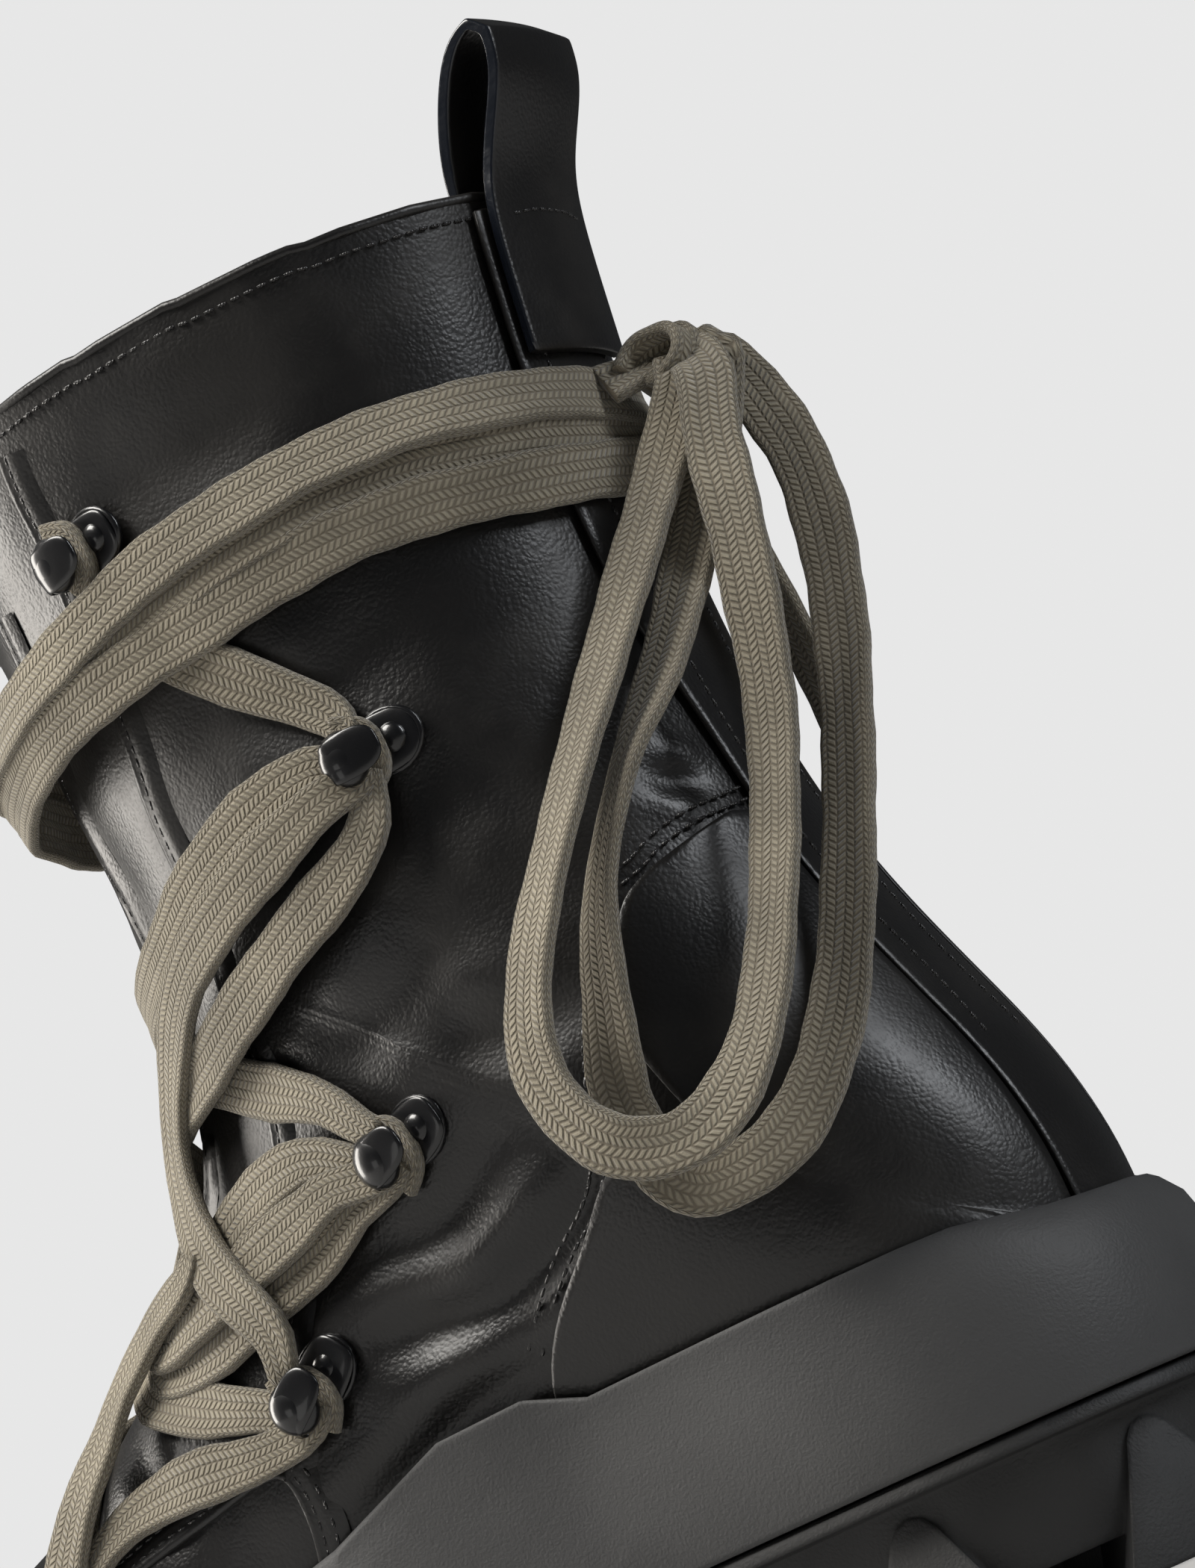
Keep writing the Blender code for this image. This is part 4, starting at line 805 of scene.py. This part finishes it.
laps = piece_from("panel_edges", lap_build, smooth_leather)
stitches = piece_from("seam_stitches", stitch_build, thread)


# Hooks. Five speed hooks a side, pressed from steel strip and dipped in black enamel: an oval base
# riveted through the leather, bent over at the throat side into a lip that holds the lace.
ENAMEL = (0.004, 0.004, 0.005, 1)

enamel, tree, output = finish_of("black enamel")
spot = node(tree, "ShaderNodeTexCoord")
fleck = node(tree, "ShaderNodeTexVoronoi", values={"Vector": spot.outputs["Object"], "Scale": 2600.0})
dust = node(tree, "ShaderNodeMapRange", {"interpolation_type": "SMOOTHSTEP"}, {
    "Value": fleck.outputs["Distance"], "From Min": 0.05, "From Max": 0.2, "To Min": 1.0, "To Max": 0.0,
})
tone = node(tree, "ShaderNodeMix", {"data_type": "RGBA"}, {
    "Factor": dust.outputs["Result"], "A": ENAMEL, "B": (0.02, 0.02, 0.022, 1),
})
wave = noise(tree, spot, 600.0)
bump = node(tree, "ShaderNodeBump", values={
    "Height": wave.outputs["Fac"], "Distance": 0.00005, "Strength": 0.6,
})
glaze = node(tree, "ShaderNodeBsdfPrincipled", values={
    "Base Color": tone.outputs["Result"], "Roughness": 0.30, "Coat Weight": 0.5, "Coat Roughness": 0.08,
    "Specular IOR Level": 0.4, "Normal": bump.outputs[0],
})
tree.links.new(glaze.outputs[0], output.inputs["Surface"])

HOOK_LENGTH = 0.0155
# The domes of a hook, the lip's bulge and the rivet's head: place towards the throat in hook lengths,
# then lift, half length, half width and height in metres
HOOK_DOMES = ((0.24, 0.0052, 0.0042, 0.0046, 0.0021), (-0.22, 0.0012, 0.0025, 0.0025, 0.0013))
DOME_SIDES = 20
# The rolled rim: its middle's place in hook lengths, half length, half width and height in metres,
# its share of the oval's size, and its steps round the oval and round the roll
RIM_PLACE = -0.16
RIM_HALF_LENGTH = 0.0056
RIM_HALF_WIDTH = 0.0048
RIM_HEIGHT = 0.0006
RIM_SHARE = 0.11
RIM_STEPS = 28
RIM_SIDES = 8


def domed(build, middle, long, wide, high):
    """A low dome on a hook: a half ellipsoid with a short skirt."""
    rings = []
    for share in (0.0, 0.2, 0.42, 0.62, 0.80, 0.93):
        out = math.cos(share * math.pi / 2)
        up = math.sin(share * math.pi / 2)
        ring = []
        for k in range(DOME_SIDES):
            turn = k / DOME_SIDES * math.tau
            ring.append(build.verts.new(
                middle + long * out * math.cos(turn) + wide * out * math.sin(turn) + high * up
            ))
        rings.append(ring)
    skirt = [build.verts.new(vert.co - high * 0.25) for vert in rings[0]]
    skinned(build, [skirt] + rings)
    build.faces.new(rings[-1])
    build.faces.new(skirt[::-1])


def rimmed(build, middle, long, wide, high):
    """The rolled oval rim round a hook's base."""
    rings = []
    for k in range(RIM_STEPS):
        turn = k / RIM_STEPS * math.tau
        out = long * math.cos(turn) + wide * math.sin(turn)
        ring = []
        for m in range(RIM_SIDES):
            roll = m / RIM_SIDES * math.tau
            ring.append(build.verts.new(
                middle + out * (1 + RIM_SHARE * math.cos(roll)) + high * (0.8 + math.sin(roll))
            ))
        rings.append(ring)
    skinned(build, rings + rings[:1])


hook_places = {}
for side_name, side in (("outer", 1), ("inner", -1)):
    for n in range(1, 6):
        cad_node = f"hook_{side_name}_{n}"
        piece = softened(f"speed_{cad_node}", quads_of(cad_node), enamel, 3, 0.0)
        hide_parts(cad_node)
        low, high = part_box(cad_node)
        middle = (Vector(low) + Vector(high)) / 2
        place, normal = form.find_nearest(middle)[:2]
        points = np.array([tuple(v.co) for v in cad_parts[cad_node].data.vertices])
        points = points - points.mean(axis=0)
        points = points - np.outer(points @ np.array(normal), np.array(normal))
        forward = Vector(np.linalg.svd(points)[2][0])
        forward = (forward if forward.x > 0 else -forward).normalized()
        rise = normal.cross(forward).normalized()
        rise = rise if rise.z > 0 else -rise
        hook_places[(side, n)] = (place, normal, forward, rise)
        build = bmesh.new()
        for share, lift, length, width, height in HOOK_DOMES:
            middle = place + forward * share * HOOK_LENGTH + normal * lift
            domed(build, middle, forward * length, rise * width, normal * height)
        rimmed(
            build, place + forward * HOOK_LENGTH * RIM_PLACE,
            forward * RIM_HALF_LENGTH, rise * RIM_HALF_WIDTH, normal * RIM_HEIGHT,
        )
        cap = piece_from(f"cap_{cad_node}", build, enamel)


# Lace. Both ends run up the throat from hook to hook, crossing over the tongue, then go three times
# round the shaft and meet in the bow behind. The later strand of each pair lies over the first.
LACE_CLEAR = 0.0004
HOOK_LIFT = 0.0036
# Routes of the strands on the outer side, from the hook named first to the throat or to the next
# hook; the inner side has the same. A pair is a spot of the photograph, read off a view of it
# that is PHOTO_VIEW times smaller. A row of three is a place in millimetres, out of the photograph.
PHOTO_WIDTH = 1600
PHOTO_HEIGHT = 2100
PHOTO_VIEW = 1.05
ROUTES = {
    "second_to_top": ((480, 940), (435, 915), (370, 888), (300, 862), (238, 838), (170, 805)),
    "second_across": ((465, 968), (410, 980), (350, 1020), (292, 1085), (252, 1150), (228, 1215),
        (214, 1280)),
    "second_to_fourth": ((475, 985), (425, 1025), (370, 1082), (320, 1145), (284, 1215), (264, 1290),
        (263, 1380), (272, 1470), (288, 1570), (310, 1630), (345, 1668), (385, 1705),
        (415, 1738)),
    "second_down": ((498, 1005), (485, 1070), (440, 1140), (378, 1220), (325, 1295), (290, 1365),
        (262, 1430)),
    "third_up": ((475, 1428), (425, 1402), (360, 1392), (300, 1378), (245, 1352)),
    "third_across": ((455, 1450), (400, 1478), (350, 1520), (310, 1575), (280, 1640), (245, 1700)),
    "third_down": ((468, 1475), (430, 1530), (380, 1580), (330, 1632), (285, 1680), (240, 1735)),
    "third_low": ((478, 1490), (462, 1545), (425, 1595), (375, 1640), (325, 1690), (285, 1730),
        (115.0, 31.0, 88.0)),
    "fourth_across": ((395, 1790), (330, 1800), (265, 1800), (210, 1795)),
    "fourth_down": ((395, 1825), (350, 1858), (290, 1880), (230, 1905), (175, 1950), (130, 1990)),
    "edge_to_fifth": ((98.0, 31.5, 104.0), (285, 1640), (250, 1690), (215, 1765), (182, 1840), (152, 1915),
        (118, 1985)),
    "fifth_across": ((141.5, 38.5, 70.0), (142.0, 33.0, 74.0), (141.0, 26.0, 77.5)),
}
# The hook that each route starts at and ends at, and on which side of its neck: 1 above, -1 below
ENDS = {
    "second_to_top": ((2, 1), None), "second_across": ((2, -1), None), "second_to_fourth": ((2, -1), (4, 1)),
    "second_down": ((2, -1), None), "third_up": ((3, 1), None), "third_across": ((3, -1), None),
    "third_down": ((3, -1), None), "third_low": ((3, -1), None), "fourth_across": ((4, -1), None),
    "fourth_down": ((4, -1), (5, 1)), "edge_to_fifth": (None, (5, 1)), "fifth_across": ((5, -1), None),
}
# Outer route, the inner route that it runs on into, and how many laces lie under it
STRANDS = (
    ("fourth_across", "fourth_across", 0.2), ("fifth_across", "fifth_across", 0.0),
    ("third_across", "second_down", 1.0), ("second_down", "third_across", 1.9),
    ("third_up", "second_across", 0.3), ("second_across", "third_up", 1.1),
    ("third_down", "third_low", 1.7), ("third_low", "third_down", 0.5),
    ("second_to_fourth", None, 2.7), ("fourth_down", None, 0.6), ("edge_to_fifth", None, 3.0),
    ("second_to_top", None, 0.4),
)
# From behind a hook's neck to beside it: towards the throat and across, in hook lengths
NECK_PASS = ((0.02, 0.10), (0.08, 0.26), (0.34, 0.36))
FREE_STEPS = 22
FREE_BULGE = Vector((0.030, 0, 0.012))
PINCHED_STEPS = 9
PINCHED_SHARE = 0.42
TIGHTENING = 160



def surface_of(*meshes):
    """One surface to lay points on, from some meshes."""
    build = bmesh.new()
    for mesh in meshes:
        build.from_mesh(mesh)
    surface = BVHTree.FromBMesh(build)
    build.free()
    return surface


bedding = surface_of(upper_skin.data, tongue_piece.data)
plain_leather = surface_of(*(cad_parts[cad_node].data for cad_node in ("upper", "tongue")))


def found_place(row):
    """A row of a route in millimetres, to a tenth: a spot of the photograph is seen on the leather."""
    if len(row) == 3:
        return row
    scale = lens.sensor_width / lens.lens / PHOTO_HEIGHT
    x = (row[0] * PHOTO_VIEW - PHOTO_WIDTH / 2) * scale
    y = (PHOTO_HEIGHT / 2 - row[1] * PHOTO_VIEW) * scale
    sight = (camera_right * x + camera_up * y - away).normalized()
    spot = plain_leather.ray_cast(CAMERA_TARGET + away * CAMERA_DISTANCE, sight)[0]
    return tuple(round(c * 1000, 1) for c in spot)


def round_neck(hook, side, way):
    """Spots that take a lace from behind a hook's neck to beside it, above or below."""
    place, normal, forward, rise = hook_places[(side, hook)]
    return [
        (place + (forward * a + rise * way * b) * HOOK_LENGTH + normal * HOOK_LIFT * 0.8, normal)
        for a, b in NECK_PASS
    ]


def bedded(name, side, lift):
    """A route's points on one side, lying at a lift over the upper and tongue, its ends in their hooks."""
    points = []
    for row in eased([found_place(row) for row in ROUTES[name]], 3.0):
        place, normal = bedding.find_nearest(Vector((row[0], row[1] * side, row[2])) / 1000)[:2]
        points.append((place + normal * lift, normal))
    start, end = ENDS[name]
    if start:
        points = round_neck(start[0], side, start[1]) + points[1:]
    if end:
        points = points[:-1] + round_neck(end[0], side, end[1])[::-1]
    return points


def drawn_tight(start, end, lift):
    """Free points pulled tight over the throat between two ends: places and directions."""
    points = []
    normals = [Vector((1, 0, 0))] * (FREE_STEPS + 1)
    for n in range(FREE_STEPS + 1):
        t = n / FREE_STEPS
        points.append(start.lerp(end, t) + FREE_BULGE * math.sin(math.pi * t))
    for turn in range(TIGHTENING):
        for n in range(1, FREE_STEPS):
            middle = (points[n - 1] + points[n + 1]) / 2
            place, normal = bedding.find_nearest(middle)[:2]
            over = (middle - place).dot(normal)
            if over < lift:
                middle = middle + normal * (lift - over)
            points[n] = middle
            normals[n] = normal
    return list(zip(points, normals))[1:-1]


def settled(line, turns):
    """A laid line with its places and directions evened out."""
    for turn in range(turns):
        line = [
            ((line[max(n - 1, 0)][0] + line[n][0] * 2 + line[min(n + 1, len(line) - 1)][0]) / 4,
             (line[max(n - 1, 0)][1] + line[n][1] + line[min(n + 1, len(line) - 1)][1]).normalized())
            for n in range(len(line))
        ]
    return line


def pinched(line, both):
    """The line with its width drawn in where it dives under a hook's lip."""
    out = []
    for n, (place, normal) in enumerate(line):
        share = min(n, len(line) - 1 - n if both else n) / PINCHED_STEPS
        out.append((place, normal, PINCHED_SHARE + (1 - PINCHED_SHARE) * min(share, 1.0) ** 0.8))
    return out


for outer, inner, level in STRANDS:
    lift = LACE_CLEAR + LACE_THICKNESS * (0.5 + 0.85 * level)
    for side in (1, -1) if inner is None else (1,):
        line = bedded(outer, side, lift)
        if inner:
            far = bedded(inner, -side, lift)[::-1]
            line = line + drawn_tight(line[-1][0], far[0][0], lift) + far
        name = f"lace_{outer}" if side > 0 else f"lace_{outer}_inner"
        strand = braid(name, pinched(settled(line, 3), outer not in ("second_to_top", "edge_to_fifth")))
        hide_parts(*(f"lace_crossing_{n}" for n in range(1, 5)))
# Behind each hook's neck, under its lip, the lace turns back on itself
NECK_TURN = ((0.30, -0.36), (0.04, -0.24), (-0.04, 0.0), (0.04, 0.24), (0.30, 0.36))
for (side, n), (place, normal, forward, rise) in hook_places.items():
    rows = eased([(a * 10, b * 10, 0) for a, b in NECK_TURN], 0.4)
    turn = [
        (place + (forward * row[0] + rise * row[1]) * HOOK_LENGTH / 10 + normal * HOOK_LIFT * 0.65, normal)
        for row in rows
    ]
    collar = braid(f"lace_turn_{'outer' if side > 0 else 'inner'}_{n}", turn, LACE_WIDTH * PINCHED_SHARE)

# Angle from the front, the turns' middle height, their half height and their stand-off, as in the
# solids, in degrees and millimetres
WRAPS = (
    (0, 184.0, 8.5, 8.2), (28, 188.0, 9.0, 8.0), (50, 191.7, 9.0, 7.2), (66, 194.3, 9.0, 5.4),
    (84, 197.5, 9.5, 1.4), (104, 199.0, 9.5, 0.8), (122, 199.6, 9.5, 0.8), (139, 198.8, 9.0, 0.9),
    (153, 197.0, 9.0, 2.0), (170, 195.5, 9.0, 2.4), (180, 195.0, 9.0, 2.4),
)
# Each turn's place in the band, how high it lies and the lean of its face
WRAP_SHARES = ((0.66, 1.15, 0.16), (0.02, 0.1, 0.0), (-0.66, 0.9, -0.14))
WRAP_STEPS = 180
wrap_angles, *wrap_columns = zip(*WRAPS)
for n, (share, level, lean) in enumerate(WRAP_SHARES, 1):
    spots = []
    for k in range(WRAP_STEPS):
        turn = abs(-180 + 360 * k / WRAP_STEPS)
        angle = math.radians(-180 + 360 * k / WRAP_STEPS)
        row = [np.interp(turn, wrap_angles, column) for column in wrap_columns]
        wander = 0.9 * math.sin(angle * 2 + n * 2.1) + 0.5 * math.sin(angle * 5 + n)
        spread = 0.62 + 0.38 * min(turn / 95, 1.0)
        height = (row[0] + share * row[1] * spread + wander * 0.8) / 1000
        ray = Vector((math.cos(angle), math.sin(angle), 0))
        middle = SHAFT_MIDDLE + Vector((0, 0, height))
        place, normal = bedding.ray_cast(middle + ray * 0.2, -ray)[:2]
        if place is None:
            place = spots[-1][0]
        off = row[2] / 1000 + LACE_THICKNESS * (0.5 + 0.35 * level)
        face = (ray + Vector((0, 0, lean + 0.12 * math.sin(angle * 3 + n)))).normalized()
        spots.append((place + ray * off, face))
    for smooth_turn in range(4):
        spots = [
            ((spots[k - 1][0] + spots[k][0] * 2 + spots[(k + 1) % WRAP_STEPS][0]) / 4, spots[k][1])
            for k in range(WRAP_STEPS)
        ]
    wrap = braid(f"lace_round_shaft_{n}", spots, closed=True)
    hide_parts("lace_wraps")


# Sole. A deep cup of charcoal rubber rises in a wave round the upper and is bonded to a lugged
# outsole. It is moulded: finely stippled, with rounded rims and a dark parting groove between them.
RUBBER = (0.060, 0.060, 0.061, 1)
RUBBER_DUSTY = (0.078, 0.078, 0.078, 1)
RIM_RADIUS = 0.0011

stipple_group = bpy.data.node_groups.new("moulded stipple", "ShaderNodeTree")
stipple_group.interface.new_socket("Height", in_out="OUTPUT", socket_type="NodeSocketFloat")
stipple_group.interface.new_socket("Dust", in_out="OUTPUT", socket_type="NodeSocketFloat")
tree = stipple_group
spot = node(tree, "ShaderNodeTexCoord")
grit = noise(tree, spot, 1900.0, 3.0)
pits = node(tree, "ShaderNodeTexVoronoi", values={"Vector": spot.outputs["Object"], "Scale": 210.0})
pit = node(tree, "ShaderNodeMapRange", {"interpolation_type": "SMOOTHSTEP"}, {
    "Value": pits.outputs["Distance"], "From Min": 0.06, "From Max": 0.16,
})
height = math_node(tree, "MULTIPLY_ADD", pit.outputs["Result"], 0.25, grit.outputs["Fac"])
cloud = noise(tree, spot, 26.0, 5.0)
dust = node(tree, "ShaderNodeMapRange", values={
    "Value": cloud.outputs["Fac"], "From Min": 0.35, "From Max": 0.7,
})
ends = tree.nodes.new("NodeGroupOutput")
tree.links.new(height.outputs[0], ends.inputs["Height"])
tree.links.new(dust.outputs["Result"], ends.inputs["Dust"])


def rubber_finish(name, painted_shade_share):
    """Charcoal rubber, its colour scaled down by a share as painted shade for faces that lie deeper."""
    made, tree, output = finish_of(name)
    stipple = node(tree, "ShaderNodeGroup", {"node_tree": stipple_group})
    tone = node(tree, "ShaderNodeMix", {"data_type": "RGBA"}, {
        "Factor": stipple.outputs["Dust"], "A": [c * painted_shade_share for c in RUBBER[:3]] + [1],
        "B": [c * painted_shade_share for c in RUBBER_DUSTY[:3]] + [1],
    })
    rough = node(tree, "ShaderNodeMapRange", values={
        "Value": stipple.outputs["Dust"], "To Min": 0.52, "To Max": 0.68,
    })
    round_edge = node(tree, "ShaderNodeBevel", {"samples": 6}, {"Radius": RIM_RADIUS})
    bump = node(tree, "ShaderNodeBump", values={
        "Height": stipple.outputs["Height"], "Distance": 0.00012, "Normal": round_edge.outputs[0],
    })
    gum = node(tree, "ShaderNodeBsdfPrincipled", values={
        "Base Color": tone.outputs["Result"], "Roughness": rough.outputs["Result"], "Normal": bump.outputs[0],
        "Specular IOR Level": 0.45,
    })
    tree.links.new(gum.outputs[0], output.inputs["Surface"])
    return made


def moulded(name, cad_node, finish, radius):
    """A moulded rubber piece: the CAD solid with its sharp edges rounded."""
    build = bmesh.new()
    build.from_mesh(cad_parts[cad_node].data)
    bmesh.ops.remove_doubles(build, verts=build.verts, dist=1e-6)
    bmesh.ops.dissolve_limit(
        build, angle_limit=math.radians(1.0), verts=build.verts, edges=build.edges, delimit={"NORMAL"},
    )
    made = piece_from(name, build, finish)
    rounding = made.modifiers.new("rounding", "BEVEL")
    rounding.width = radius
    rounding.segments = 3
    rounding.limit_method = "ANGLE"
    rounding.angle_limit = math.radians(35)
    rounding.harden_normals = True
    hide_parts(cad_node)
    return made


moulded("sole_cup_rubber", "sole_cup", rubber_finish("cup rubber", 1.0), RIM_RADIUS * 1.6)
# The outsole's colour is scaled to about a third: painted shade, since it lies deeper, under the cup's rim
moulded("outsole_rubber", "outsole", rubber_finish("lug rubber with painted shade", 0.34), RIM_RADIUS * 0.8)
